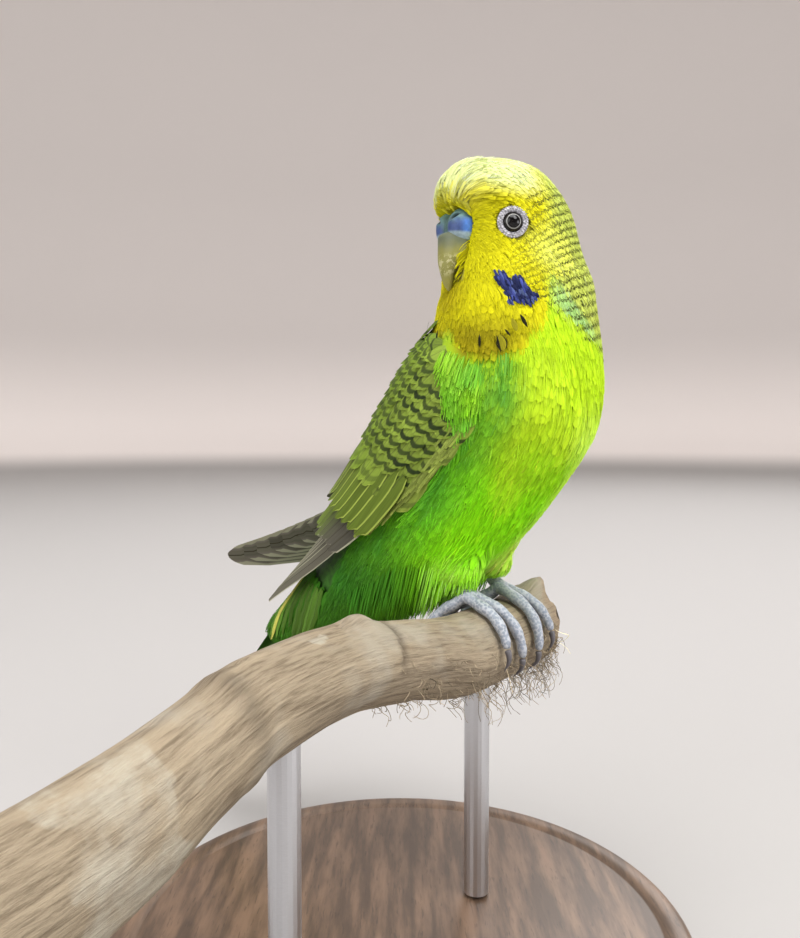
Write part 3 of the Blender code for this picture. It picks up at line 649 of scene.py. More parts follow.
def lie_at(points, normals):
    """Direction in which the feathers lie: out from the bill, over the head and down the body."""
    from_bill = points - BILL_ROOT
    near = np.linalg.norm(from_bill, axis=1, keepdims=True)
    source = from_bill / near**2 * np.exp(-((near / 45.0) ** 2))
    tailward = np.array((-math.cos(BODY_PITCH), 0.0, -math.sin(BODY_PITCH)))
    share = rise(66.0, 40.0, points[:, 2])[:, None]
    stream = np.array((0.0, 0.0, -1.0)) * (1 - share) + tailward * share
    flow = source + 0.052 * stream
    flow -= normals * np.einsum("ij,ij->i", flow, normals)[:, None]
    return unit(flow)


def measure_hide(thing):
    """Fills the hide's arrays from the skin, and sinks the skin by the coat's depth."""
    given = settings("plumage")
    mesh = thing.data
    size = len(mesh.vertices)
    co = np.empty(size * 3, np.float32)
    mesh.vertices.foreach_get("co", co)
    outer = to_bird(co.reshape(-1, 3))
    normal = np.empty(size * 3, np.float32)
    mesh.vertices.foreach_get("normal", normal)
    normals = normal.reshape(-1, 3).astype(float) @ turned(VIEW_TURN)
    edge = np.empty(len(mesh.edges) * 2, np.int32)
    mesh.edges.foreach_get("vertices", edge)
    edges = edge.reshape(-1, 2)
    count = np.bincount(edge, minlength=size)
    smooth = unit(spread_value(normals, edges, count[:, None], 6))
    lie = unit(spread_value(lie_at(outer, smooth), edges, count[:, None], 4))
    head = head_view(outer)
    depth = given.head_depth + (given.body_depth - given.head_depth) * rise(74.0, 56.0, outer[:, 2])
    hide.points = outer - smooth * (depth / MM)[:, None]
    hide.normals = smooth
    hide.edges = edges
    hide.lie = unit(lie - smooth * np.einsum("ij,ij->i", lie, smooth)[:, None])
    hide.rows = solve_rows(hide.points, edges, hide.lie)
    hide.rows -= hide.rows[np.linalg.norm(outer - BILL_ROOT, axis=1) < 9.0].mean()
    a, b = edges[:, 0], edges[:, 1]
    reach = np.einsum("ij,ij->i", hide.points[b] - hide.points[a], (hide.lie[a] + hide.lie[b]) / 2)
    grown = (hide.rows[b] - hide.rows[a]) * reach
    top = np.bincount(a, grown, size) + np.bincount(b, grown, size)
    low = np.bincount(a, reach**2, size) + np.bincount(b, reach**2, size)
    hide.rate = np.clip(spread_value(top / np.maximum(low, 1e-6), edges, count, 4), 0.45, 1.5)
    hide.polygons = [tuple(p.vertices) for p in mesh.polygons]
    hide.tree = BVHTree.FromPolygons([Vector(p) for p in hide.points], hide.polygons)
    mesh.vertices.foreach_set("co", to_model(hide.points).astype(np.float32).ravel())
    mesh.update()
    return head


def on_hide(points):
    """Nearest places on the skin, with the normal, lie, row value and its rate there."""
    place = np.empty_like(points)
    near = np.empty(len(points), int)
    for i, p in enumerate(points):
        hit, _, face, _ = hide.tree.find_nearest(Vector(p))
        place[i] = hit
        near[i] = face
    corners = np.array([hide.polygons[f][:3] for f in near])
    weight = 1.0 / (np.linalg.norm(hide.points[corners] - place[:, None], axis=2) + 0.05)
    weight /= weight.sum(1, keepdims=True)
    normal = unit((hide.normals[corners] * weight[..., None]).sum(1))
    lie = (hide.lie[corners] * weight[..., None]).sum(1)
    lie = unit(lie - normal * np.einsum("ij,ij->i", lie, normal)[:, None])
    rows = (hide.rows[corners] * weight).sum(1)
    return place, normal, lie, rows, (hide.rate[corners] * weight).sum(1)


def row_ring(value):
    """Points where the skin crosses one row value, in order round the body, and how far round."""
    a, b = hide.edges[:, 0], hide.edges[:, 1]
    first, second = hide.rows[a] - value, hide.rows[b] - value
    cross = first * second < 0
    share = (first[cross] / (first[cross] - second[cross]))[:, None]
    points = hide.points[a[cross]] * (1 - share) + hide.points[b[cross]] * share
    if len(points) < 8:
        return None
    middle = points.mean(0)
    axis = unit(hide.lie[a[cross]].mean(0))
    twist = HEAD_TURN * float(rise(44.0, 74.0, middle[2]))
    left = np.array((-math.sin(twist), math.cos(twist), 0.0))
    back = unit(np.cross(left, axis))
    left = np.cross(axis, back)
    turn = np.arctan2((points - middle) @ left, (points - middle) @ -back) / (2 * math.pi) + 0.5
    order = np.argsort(turn)
    return points[order], turn[order]


def root_rows(start, end, pitch_at, gap_at, seed):
    """Roots of feathers in rows round the body, each row set off by half a gap from the last."""
    chance = np.random.default_rng(seed)
    value, odd, roots, pitches, places = start, 0, [], [], []
    while value < end:
        pitch, gap = pitch_at(value), gap_at(value)
        found = row_ring(value)
        if found is not None:
            ring, turn = found
            loop = np.vstack((ring, ring[:1]))
            walk = np.concatenate(([0], np.cumsum(np.linalg.norm(np.diff(loop, axis=0), axis=1))))
            count = max(int(walk[-1] / gap), 4)
            at = (np.arange(count) + 0.5 * (odd % 2) + chance.uniform(-0.14, 0.14, count)) / count
            at = (at % 1.0) * walk[-1]
            roots.append(np.stack([np.interp(at, walk, loop[:, k]) for k in range(3)], 1))
            pitches.append(np.full(count, pitch))
            around = np.interp(at, walk, np.append(turn, 1.0))
            places.append(np.stack((around, np.full(count, value)), 1))
        value += pitch
        odd += 1
    return np.vstack(roots), np.concatenate(pitches), np.vstack(places)


# ---------------------------------------------------------------- colours of the plumage


def neck_bearing(points):
    """Degrees round the neck from the front, which turns with the head above the shoulders."""
    z = points[:, 2]
    twist = HEAD_TURN * rise(44.0, 74.0, z)
    slope = rise(62.0, 42.0, z)
    centre_x = 7.0 * (1 - slope) + slope * (0.7 * z - 33.0)
    bearing = np.arctan2(points[:, 1], points[:, 0] - centre_x) - twist
    return np.degrees((bearing + math.pi) % (2 * math.pi) - math.pi)


# Height, and the bearing behind which the plumage is barred there
BAR_BEARING = np.array(
    ((28, 152), (44, 128), (50, 112), (54, 98), (58, 78), (62, 64), (66, 74), (69, 66), (73, 58), (76, 50),
     (80, 38), (86, 34), (92, 36), (98, 28), (104, 0)),
    float,
)
# Height, and the row value behind which it is barred
BAR_ROW = np.array(((66, 27), (70, 24.2), (74, 18.5), (78, 14.5), (82, 11.0), (86, 9.0), (90, 7.4), (93, 6.0),
                    (97, 6.2), (101, 7.6), (105, 9.0)), float)


def bar_strength(points, rows):
    """How strongly the feathers are barred: ear coverts, back of the head, nape and mantle."""
    bearing = np.abs(neck_bearing(points))
    z = points[:, 2]
    edge = np.interp(z, BAR_BEARING[:, 0], BAR_BEARING[:, 1])
    first = np.interp(z, BAR_ROW[:, 0], BAR_ROW[:, 1])
    first = np.where(z < 66, -20.0, first)
    strength = rise(edge - 4.0, edge + 6.0, bearing) * rise(first - 0.7, first + 0.7, rows)
    ear = rise(94.0, 88.0, z) * rise(70.0, 76.0, z) * rise(100.0, 80.0, bearing)
    return strength * (1 - 0.35 * ear)


def bar_phase(rows):
    """Counts the bars from the bill on. They lie closer on the ear coverts than on the nape."""
    grid = np.linspace(-20.0, 160.0, 721)
    pitch = np.interp(grid, (8, 14, 22, 32, 45), (1.5, 1.25, 1.55, 2.1, 2.7))
    count = np.cumsum(0.25 / pitch)
    return np.interp(rows, grid, count)


def near_to(points, centre, radii):
    """1 at a patch's centre, falling to 0 at its edge."""
    return rise(1.0, 0.25, np.linalg.norm((points - np.asarray(centre)) / radii, axis=1))


def mixed(first, second, share):
    return first * (1 - share[:, None]) + np.asarray(second, float) * share[:, None]


def plumage(points):
    """Colour of the plumage at places in the bird's frame."""
    given = settings("plumage")
    c = {k: np.array(getattr(given, k)) for k in (
        "crown", "mask", "nape", "ear", "neck_side", "breast", "belly", "shoulder", "vent", "down")}
    z = points[:, 2]
    head = head_view(points)
    ahead, out, up = head[:, 0], np.abs(head[:, 1]), head[:, 2]
    bearing = np.abs(neck_bearing(points))
    station = points[:, 0] * math.cos(BODY_PITCH) + z * math.sin(BODY_PITCH)
    lift = points[:, 0] * math.sin(BODY_PITCH) - z * math.cos(BODY_PITCH)
    wander = cloud(points, 9.0, 3) - 0.5
    fine = cloud(points, 3.5, 5) - 0.5
    tone = np.broadcast_to(c["breast"], points.shape).copy()
    tone = mixed(tone, c["belly"], rise(50.0, 26.0, station + 10 * wander))
    low_back = rise(0.0, -22.0, station) * rise(-14.0, -30.0, lift)
    tone = mixed(tone, c["vent"], rise(8.0, -14.0, station + 5 * wander) * 0.9)
    tone = mixed(tone, c["vent"] * (0.8, 1.15, 2.0), low_back * 0.6)
    flank = rise(12.5, 18.5, np.abs(points[:, 1])) * rise(62.0, 50.0, z) * rise(-4.0, -14.0, lift)
    tone = mixed(tone, c["shoulder"], flank * (0.6 + 0.5 * fine))
    mantle = rise(-30.0, -44.0, lift) * rise(-8.0, 6.0, station)
    tone = mixed(tone, c["nape"] * (0.55, 0.72, 0.6), mantle * 0.8)
    for centre, radii, share in (
        ((18.0, -12.0, 36.0), (12, 12, 18), 0.35),
        ((21.0, -13.6, 51.0), (9, 9, 12), 0.55),
        ((24.6, -5.0, 40.0), (9, 9, 12), 0.5),
        ((21.0, 13.6, 51.0), (9, 9, 12), 0.5),
        ((11.0, -13.0, 24.0), (6, 7, 14), 0.45),
        ((11.0, 13.0, 24.0), (6, 7, 14), 0.45),
    ):
        tone = mixed(tone, c["breast"] * (1.22, 1.1, 3.0), near_to(points, centre, radii) * share)
    # neck above the breast
    side_neck = rise(54.0, 66.0, z)
    tone = mixed(tone, c["nape"], side_neck * rise(60.0, 95.0, bearing))
    patch = near_to(np.stack((bearing, z), 1), (85.0, 68.0), (15.0, 8.5))
    # the yellow mask
    face_bearing = np.degrees(np.arctan2(out, ahead))
    low_edge = np.interp(face_bearing, (4, 12, 22, 33, 59, 75, 82), (64.5, 62.5, 59.0, 57.6, 58.6, 64.5, 72.0))
    mask = rise(-1.6, 1.6, z - low_edge + 2.4 * fine) * rise(84.0, 76.0, face_bearing)
    mask = np.where(z > 76.0, rise(112.0, 76.0, face_bearing), mask)
    tone = mixed(tone, c["mask"], mask)
    upper = rise(74.0, 78.0, z)
    tone = mixed(tone, c["nape"], upper * rise(74.0, 110.0, bearing))
    ears = near_to(head, (-0.5, 15.6, -7.5), (8.5, 9.0, 9.0)) + near_to(head, (-0.5, -15.6, -7.5), (8.5, 9.0, 9.0))
    tone = mixed(tone, c["ear"], np.clip(ears, 0, 1) * 0.9)
    pale = rise(3.6, 8.6, up + 1.5 * wander) * rise(104.0, 62.0, bearing + 14 * (15.0 - up) / 15.0)
    pale = np.maximum(pale, rise(13.0, 15.0, up) * 0.5)
    tone = mixed(tone, c["crown"], pale)
    # painted light: the brow is brightened well past the mask's yellow to lift the shade that its overhanging strands
    # cast
    brow = rise(12.0, 16.5, ahead) * rise(1.0, 4.0, up) * rise(9.0, 5.5, up)
    tone = mixed(tone, c["mask"] * (1.35, 1.33, 12.0), brow * 0.9)
    # painted shade: the throat below the bill is darkened for the shade between bill and breast
    throat = rise(70.0, 62.0, z) * mask * rise(78.0, 40.0, face_bearing)
    tone = tone * (1 - 0.5 * throat[:, None] * (1, 1.08, 1))
    # painted shade: a darker gold patch just under the bill
    shade_under_bill = near_to(head, (15.0, 0.0, -17.0), (9.0, 9.0, 7.0))
    tone = mixed(tone, c["mask"] * (0.62, 0.55, 1.0), shade_under_bill * 0.8)
    fluff = near_to(points, (-6.0, -4.0, 6.0), (12.0, 18.0, 10.0))
    tone = mixed(tone, c["down"] * (0.62, 0.98, 0.16), fluff * 0.75)
    # painted light: the lower body's edge towards the view's right is tinted bright lime, as if lit from that side
    outward = 0.81 * points[:, 0] + 0.59 * points[:, 1]
    contour = np.interp(z, (5, 10, 18, 29, 40, 50), (3.0, 6.0, 13.6, 22.0, 24.0, 25.0))
    lit_right_edge = rise(50.0, 38.0, z) * rise(-9.5, -3.0, outward - contour) * rise(4.0, 9.0, z)
    tone = mixed(tone, (0.66, 1.0, 0.10), lit_right_edge * 0.75)
    tone = mixed(tone, c["neck_side"], patch * 0.9)
    return np.clip(tone * (1 + 0.16 * fine[:, None]), 0.0, 1.0)


def bake_place(places):
    """A place on the unwrap of the skin: how far round the body, and how far down from the bill."""
    low, high = places[:, 1].min(), places[:, 1].max()
    down = (places[:, 1] - low) / max(high - low, 1e-6)
    return 0.01 + 0.98 * np.stack((places[:, 0], down), 1)


def laid(roots, lengths, depth, seed, yaw=5.0, samples=4, lift_root=0.0):
    """Middle lines of feathers that lie on the skin from their roots, rising to the coat's depth."""
    chance = np.random.default_rng(seed)
    place, normal, lie, rows, _ = on_hide(roots)
    turn = np.radians(chance.normal(0, yaw, len(roots)))[:, None]
    ahead = lie * np.cos(turn) + np.cross(normal, lie) * np.sin(turn)
    end, end_normal = on_hide(place + ahead * lengths[:, None])[:2]
    path, up = [], []
    for t in np.linspace(0, 1, samples):
        flat = place * (1 - t) + end * t
        n = unit(normal * (1 - t) + end_normal * t)
        chord = np.linalg.norm(end - place, axis=1)
        bend = np.clip(np.einsum("ij,ij->i", normal, end_normal), -1, 1)
        sag = chord * np.arccos(bend) / 2 * t * (1 - t)
        height = lift_root + (depth - lift_root) * t ** 0.8 + sag
        path.append(flat + n * height[:, None])
        up.append(n)
    return {
        "path": np.stack(path, 1),
        "up": np.stack(up, 1),
        "root": place,
        "normal": normal,
        "rows": rows,
        "lie": ahead,
        "seed": seed,
    }


# ---------------------------------------------------------------- wings and tail


def wing_point(side, station, angle, level):
    """A point on a folded wing: station on the body's axis, degrees from the back, height."""
    station, angle, level = np.broadcast_arrays(
        np.asarray(station, float), np.asarray(angle, float), np.asarray(level, float)
    )
    turn = np.radians(angle)
    spread = 5.0 * (np.maximum(5.0 - station, 0.0) / 47.0) ** 1.3
    radius = 18.4 + 0.4 * np.maximum(np.cos(turn), 0.0) ** 2 + spread + level
    offset = BODY_AXIS_OFFSET - radius * np.cos(turn)
    y = side * radius * np.sin(turn)
    if side == LEFT:
        share = (np.maximum(16.0 - station, 0.0) / 57.0) ** 1.4
        offset = offset - 20.5 * share
        y = y - 18.0 * share * np.cos(turn)
    c, s = math.cos(BODY_PITCH), math.sin(BODY_PITCH)
    return np.stack((station * c + offset * s, y, station * s - offset * c), -1)


def on_wing(side, roots, tips, levels, samples, bow=0.0, tilt=0.0):
    """Middle lines of feathers on the wing from the places of their roots and tips."""
    roots, tips, levels = (np.asarray(x, float) for x in (roots, tips, levels))
    t = np.linspace(0, 1, samples)[None]
    station = roots[:, :1] * (1 - t) + tips[:, :1] * t
    angle = roots[:, 1:] * (1 - t) + tips[:, 1:] * t + np.asarray(bow) * np.sin(np.pi * t)
    level = levels[:, :1] * (1 - t) + levels[:, 1:] * t
    path = wing_point(side, station, angle, level)
    up = unit(wing_point(side, station, angle, level + 1.0) - path)
    out = unit(wing_point(side, station, angle + 1.0, level) - path)
    return path, up * math.cos(math.radians(tilt)) - out * math.sin(math.radians(tilt))


ARM = np.array(
    ((17, 5, 100, 4.8), (26, 4, 104, 5.0), (35, 6, 108, 5.0), (41, 14, 107, 4.9), (46, 30, 99, 4.4),
     (49.5, 50, 86, 3.2)),
    float,
)


def arm_edges(station):
    return (np.interp(station, ARM[:, 0], ARM[:, k]) for k in (1, 2))


def arm_level(station, angle):
    """Height of the arm of the wing under its coverts, which falls at its edges."""
    first, last = arm_edges(station)
    share = np.clip((angle - first) / (last - first), 0, 1)
    return np.interp(station, ARM[:, 0], ARM[:, 3]) - 1.6 * np.abs(2 * share - 1) ** 3


def side_level(station, angle):
    """Height of the wing's arm, which runs out to the body's side beyond its edges."""
    first, last = arm_edges(station)
    body = np.interp(station, (0, 12, 25, 38, 45, 54), (-1.2, -0.9, -0.8, 0.2, 1.0, 0.6))
    level = arm_level(station, angle)
    fall = rise(0.0, 13.0, angle - last) + rise(0.0, 9.0, first - angle) * 0.5
    fall = np.maximum(fall, rise(49.0, 54.0, station))
    return level + (np.minimum(body, level) - level) * np.clip(fall, 0, 1)


def cover_edge(station):
    """Degrees from the back at which the body's feathers begin to cover the wing."""
    return np.interp(station, (12, 22, 28, 31, 34, 37, 42, 47.5, 52), (101, 106, 110, 108, 103, 96, 84, 60, 30))


def wing_bake(stations, angles):
    return np.stack((0.02 + 0.96 * angles / 180.0, 0.02 + 0.96 * (62.0 - stations) / 130.0), 1)


def wing_bunch(side, roots, tips, levels, half, tone, marks, seed, samples=6, bow=0.0, tilt=0.0):
    path, up = on_wing(side, roots, tips, levels, samples, bow, tilt)
    count = len(path)
    return {
        "path": path,
        "up": up,
        "half": np.broadcast_to(half, (count,)).astype(float),
        "colour": np.broadcast_to(tone, (count, 3)).astype(float),
        "marks": np.broadcast_to(marks, (count, 4)).astype(float).copy(),
        "bake": wing_bake(np.asarray(roots)[:, 0], np.asarray(roots)[:, 1]),
        "seed": seed,
        "roundness": 24.0,
    }


def covert_rows(side, seed):
    """The scaly rows of small coverts from the shoulder down, then rows of longer ones."""
    given = settings("wings")
    olive, edge = np.array(given.olive), np.array(given.edge)
    chance = np.random.default_rng(seed)
    bunches = []
    rows = [(tip, 8.0, 1.95 + 0.012 * (47 - tip)) for tip in np.arange(46.8, 14.0, -3.05)]
    rows += [(10.6, 11.5, 2.5)]
    for number, (tip, size, half) in enumerate(rows):
        first, last = arm_edges(max(tip, 17.0) + 1.0)
        last = min(last + 2.0, float(cover_edge(tip)) + 5.0, float(cover_edge(min(tip + size, 49.5))) + 22.0)
        first = first + 3.0
        count = max(int(math.radians(last - first) * 23.5 / (half * 1.32)), 3)
        share = (np.arange(count) + (0.5 if number % 2 else 0.0)) / (count - 0.5)
        share = np.clip(share + chance.uniform(-0.12, 0.12, count) / count, 0, 1)
        angle = first + (last - first) * share
        across = np.clip((angle - 15.0) / 90.0, 0, 1)
        tips = tip + chance.normal(0, 0.25, count) + 1.6 * across
        roots = np.stack((np.minimum(tips + size, 49.5), angle + chance.normal(0, 0.5, count)), 1)
        ends = np.stack((tips, angle - 3.5 + chance.normal(0, 1.0, count)), 1)
        levels = np.stack((side_level(roots[:, 0], angle) - 0.35, side_level(np.maximum(tips, 17.0), angle) + 0.75), 1)
        levels[:, 1] += chance.uniform(0, 0.3, count)
        front = rise(0.3, 0.75, across)
        tone = mixed(np.tile(olive, (count, 1)), olive * (0.62, 0.66, 0.6), rise(0.45, 0.1, across))
        tone = mixed(tone, edge * (0.75, 0.8, 0.7), front * 0.5)
        tone = mixed(tone, given.band, rise(0.92, 1.0, across) * (tip < 30) * 0.5)
        tone = tone * np.exp(chance.normal(0, 0.12, (count, 1)))
        marks = np.zeros((count, 4))
        marks[:, 0] = (0.72 + 0.28 * front) * (1.0 if tip > 12 else 0.55) * rise(1.05, 0.95, across * (tip < 26))
        marks[:, 0] *= chance.uniform(0.75, 1.0, count)
        marks[:, 1] = 0.5 + 0.5 * front
        marks[:, 2] = chance.random(count)
        bunches.append(wing_bunch(side, roots, ends, levels, half, tone, marks, seed + number))
    return gathered(bunches)


def lower_edge_feathers(side, seed):
    """Pale narrow feathers that lie along the lower edge of the folded wing."""
    given = settings("wings")
    chance = np.random.default_rng(seed)
    count = 110
    along = np.sort(chance.random(count))
    station = 36.0 - 34.0 * along
    angle = np.interp(station, (2, 10, 18, 26, 36), (88, 96, 102, 106, 107)) + chance.normal(0, 1.6, count)
    roots = np.stack((station + 7.5, angle - 1.0), 1)
    ends = np.stack((station - 1.5, angle - 4.0 + 2 * chance.random(count)), 1)
    levels = np.stack((side_level(np.maximum(station + 7.5, 17), angle - 2) - 0.2,
                       side_level(np.maximum(station, 17), angle - 3) + 0.5 + 0.4 * chance.random(count)), 1)
    tone = np.array(given.band) * np.exp(chance.normal(0, 0.22, (count, 1)))
    marks = np.stack((np.zeros(count), np.full(count, 0.5), chance.random(count), np.ones(count)), 1)
    return wing_bunch(side, roots, ends, levels, 0.3 + 0.3 * chance.random(count), tone, marks, seed)


def shoulder_plumage(side, seed):
    """Body feathers that run over the shoulder and the front edge of the wing."""
    chance = np.random.default_rng(seed)
    stations, angles = [], []
    for station in np.arange(56.0, 14.0, -0.95):
        lean = float(np.interp(station, (24, 40), (-2.0, 7.0)))
        start, end = float(cover_edge(station - 4.5)) + 2.0 - lean, 121.0
        count = max(int(math.radians(end - start) * 23.0 / 0.27), 2)
        angles.append(np.linspace(start, end, count) + chance.uniform(-1.6, 1.6, count))
        stations.append(np.full(count, station) + chance.uniform(-0.5, 0.5, count))
    station, angle = np.concatenate(stations), np.concatenate(angles)
    height = wing_point(side, station, angle, 5.0)[:, 2]
    keep = height < np.interp(angle, (50, 65, 85), (66.0, 61.5, 58.5))
    station, angle = station[keep], angle[keep]
    count = len(station)
    size = chance.uniform(3.2, 5.6, count)
    lean = np.interp(station, (24, 40), (-2.0, 7.0)) * size / 4.5
    ends = np.stack((station - size, angle + lean + chance.normal(0.0, 1.2, count)), 1)
    roots = np.stack((station, angle), 1)
    levels = np.stack((side_level(station, angle) - 0.2, side_level(ends[:, 0], ends[:, 1]) + chance.uniform(0.35, 0.65, count)), 1)
    places = wing_point(side, ends[:, 0], ends[:, 1], levels[:, 1]) - (0.0, 0.0, 3.0)
    tone = plumage(places) * np.exp(chance.normal(0, 0.1, (count, 1)))
    pale = chance.random((count, 1)) < 0.18
    tone = np.clip(np.where(pale, tone * (1.3, 1.15, 1.8), tone), 0, 1)
    marks = np.stack((np.zeros(count), np.full(count, 0.3), chance.random(count), np.ones(count)), 1)
    half = np.where(chance.random(count) < 0.2, 0.3, 0.12)
    return wing_bunch(side, roots, ends, levels, half, tone, marks, seed, 5)


def mantle_plumage(side, seed):
    """Barred feathers between the wings, which slope down from each wing to the back."""
    given = settings("wings")
    chance = np.random.default_rng(seed)
    bunches = []
    for number, tip in enumerate(np.arange(46.0, 8.0, -2.3)):
        first = float(list(arm_edges(max(tip, 17.0)))[0]) + 10.0
        count = max(int(math.radians(first) * 22.0 / 2.0), 2)
        angle = np.linspace(1.0, first, count) + chance.uniform(-1.0, 1.0, count) + (2.5 if number % 2 else 0)
        share = np.clip(angle / first, 0, 1)
        high = side_level(max(tip, 17.0), angle) + 0.9
        top = 2.0 + (high - 2.0) * share
        tips = tip + chance.normal(0, 0.3, count)
        roots = np.stack((tips + 7.0, angle), 1)
        ends = np.stack((tips, angle - 2.0 * share), 1)
        levels = np.stack((top - 1.6, top), 1)
        tone = mixed(np.tile(np.array(given.olive) * 0.8, (count, 1)), np.array(given.edge) * 0.75, rise(0.8, 0.0, share) * 0.6)
        marks = np.stack((np.full(count, 0.85), np.full(count, 0.9), chance.random(count), np.ones(count)), 1)
        bunches.append(wing_bunch(side, roots, ends, levels, 1.55, tone, marks, seed + number))
    return gathered(bunches)


def long_coverts(side, seed):
    """Greater coverts, with rounded pale tips."""
    given = settings("wings")
    chance = np.random.default_rng(seed)
    count = 12
    share = np.linspace(0, 1, count)
    angle = 16 + 74 * share
    inner = 3.0 * np.exp(-share / 0.12)
    tips = np.stack((-2.0 + 3.0 * share - inner + chance.normal(0, 0.9, count), angle - 5.0), 1)
    roots = np.stack((np.full(count, 21.0), angle + 2.0), 1)
    levels = np.stack((np.full(count, 4.6), 5.5 - 0.15 * share), 1)
    tone = np.array(given.olive) * (0.72, 0.68, 0.8) * np.ones((count, 1))
    marks = np.stack((np.zeros(count), np.ones(count), chance.random(count), np.ones(count)), 1)
    return wing_bunch(side, roots, tips, levels, 2.9, tone, marks, seed, 9, 0.0, 9.0)


def flight_feathers(side, seed):
    """Secondaries and primaries, each a little under the next."""
    given = settings("wings")
    chance = np.random.default_rng(seed)
    grey, olive = np.array(given.flight), np.array(given.olive)
    reach = 4.0 if side == LEFT else 0.0
    count = 11
    share = np.linspace(0, 1, count)
    roots = np.stack((np.full(count, 13.0), 20 + 68 * share), 1)
    far = -12.0
    tips = np.stack((far - (far + 7.5) * share + chance.normal(0, 1.0, count), 17 + 55 * share), 1)
    levels = np.stack((2.6 + 0.9 * share, 3.7 + 0.5 * share), 1)
    tone = mixed(np.tile(olive * 0.8, (count, 1)), grey * 0.7, rise(0.3, 0.9, share))
    marks = np.stack((np.zeros(count), np.full(count, 0.9), chance.random(count), np.ones(count)), 1)
    if side == LEFT:
        tone = mixed(tone, grey, np.full(count, 0.75))
    second = wing_bunch(side, roots, tips, levels, 2.7, tone, marks, seed, 10, 0.0, 8.0)
    count = 9
    share = np.linspace(0, 1, count)
    roots = np.stack((np.full(count, 13.0), 36 + 43 * share), 1)
    tips = np.stack((-17.0 - (23.5 + reach) * share**0.9, 34 - 9 * share), 1)
    levels = np.stack((0.4 + 1.3 * share, 0.4 + 1.3 * share), 1)
    tone = np.tile(grey, (count, 1)) * (0.8 + 0.4 * chance.random((count, 1)))
    marks = np.stack((np.zeros(count), np.full(count, 0.8), chance.random(count), np.ones(count)), 1)
    bow = 9 * share[:, None]
    half = np.linspace(2.2, 1.9, count) if side == RIGHT else np.linspace(4.4, 5.6, count)
    if side == LEFT:
        tone = tone * 1.15
    first = wing_bunch(side, roots, tips, levels, half, tone, marks, seed + 1, 10, bow, -8.0)
    return gathered([second, first])


def arm_shell(side):
    """The closed arm of the wing that carries its coverts and runs out to the body."""
    stations = np.linspace(12.0, 54.0, 30)
    t = np.linspace(0, 1, 40)
    first, last = arm_edges(stations)
    angle = (first - 7.0)[:, None] + (last + 20.0 - first)[:, None] * t
    station = np.repeat(stations[:, None], len(t), 1)
    outer = side_level(np.maximum(station, 17.0), angle) - 0.4 - 2.2 * rise(17.0, 12.0, station)
    top = wing_point(side, station, angle, outer)
    low = wing_point(side, station, angle, np.full_like(angle, -5.0))
    verts = np.concatenate((top.reshape(-1, 3), low.reshape(-1, 3)))
    n, m = station.shape
    grid = np.arange(n * m).reshape(n, m)
    up = np.stack((grid[:-1, :-1], grid[:-1, 1:], grid[1:, 1:], grid[1:, :-1]), -1).reshape(-1, 4)
    rim = np.concatenate((grid[0, :], grid[1:, -1], grid[-1, -2::-1], grid[-2:0:-1, 0]))
    after = np.roll(rim, -1)
    wall = np.stack((after, rim, rim + n * m, after + n * m), 1)
    quads = np.concatenate((up, up[:, ::-1] + n * m, wall))
    if side == LEFT:
        quads = quads[:, ::-1]
    return verts, quads


def arm_object(side, name, finish):
    verts, quads = arm_shell(side)
    made = place_mesh(name, verts, [quads], finish, 0)
    mesh = made.data
    tone = np.tile(np.array(settings("wings").olive) * 0.7, (len(verts), 1))
    station = verts[:, 0] * math.cos(BODY_PITCH) + verts[:, 2] * math.sin(BODY_PITCH)
    offset = verts[:, 0] * math.sin(BODY_PITCH) - verts[:, 2] * math.cos(BODY_PITCH)
    angle = np.degrees(np.arctan2(np.abs(verts[:, 1]), -(offset - BODY_AXIS_OFFSET)))
    covered = rise(-3.0, 3.0, angle - cover_edge(station))
    tone = mixed(tone, (0.0, 0.0, 0.0), covered) + plumage(verts) * 0.7 * covered[:, None]
    write_colour(mesh, "Plumage", tone)
    write_colour(mesh, "Marks", np.zeros((len(verts), 4)))
    write_uv(mesh, "Vane", np.full((len(verts), 2), 0.4))
    return made


# ---------------------------------------------------------------- operators


class BUDGERIGAR_OT_skin(bpy.types.Operator):
    """Bird's skin, merged from the flesh and sunk by the depth of the coat"""

    bl_idname = "budgerigar.skin"
    bl_label = "Skin"

    def execute(self, context):
        made = skin_object()
        measure_hide(made)
        made.data.shade_smooth()
        tone = plumage(hide.points) * 0.75
        write_colour(made.data, "Plumage", tone)
        f = Finish("Down under the coat", 0.9)
        noise = f.spots(f.body(), 900.0, 3.0)
        f.paint(f.mix(1.0, f.attribute("Plumage").outputs["Color"], f.place(noise, noise, noise), "OVERLAY"))
        f.set(Sheen_Weight=0.3)
        made.data.materials.append(f.material)
        settle_piece(made, "green_plumage", *FLESH)
        return {"FINISHED"}


ZONES = (
    # name, first and last row value, finish, slot, columns, samples
    ("coat_face", -14.0, 13.0, "yellow_plumage", 5, 4),
    ("coat_head", 13.0, 30.0, "yellow_plumage", 7, 4),
    ("coat_neck", 30.0, 58.0, "yellow_plumage", 7, 5),
    ("coat_breast", 58.0, 84.0, "green_plumage", 9, 5),
    ("coat_belly", 84.0, 112.0, "green_plumage", 9, 5),
    ("coat_vent", 112.0, 160.0, "green_plumage", 9, 5),
)


def row_pitch(value):
    """Distance between rows of feathers, by how far down from the bill they are."""
    given = settings("plumage")
    low, high = given.face_pitch / MM, given.body_pitch / MM
    return float(np.interp(value, (0, 12, 24, 36, 60), (low, 1.05, 1.3, 1.55, high)))


def row_gap(value):
    return float(np.interp(value, (0, 12, 24, 36, 60), (0.8, 0.95, 1.2, 1.4, 1.7)))


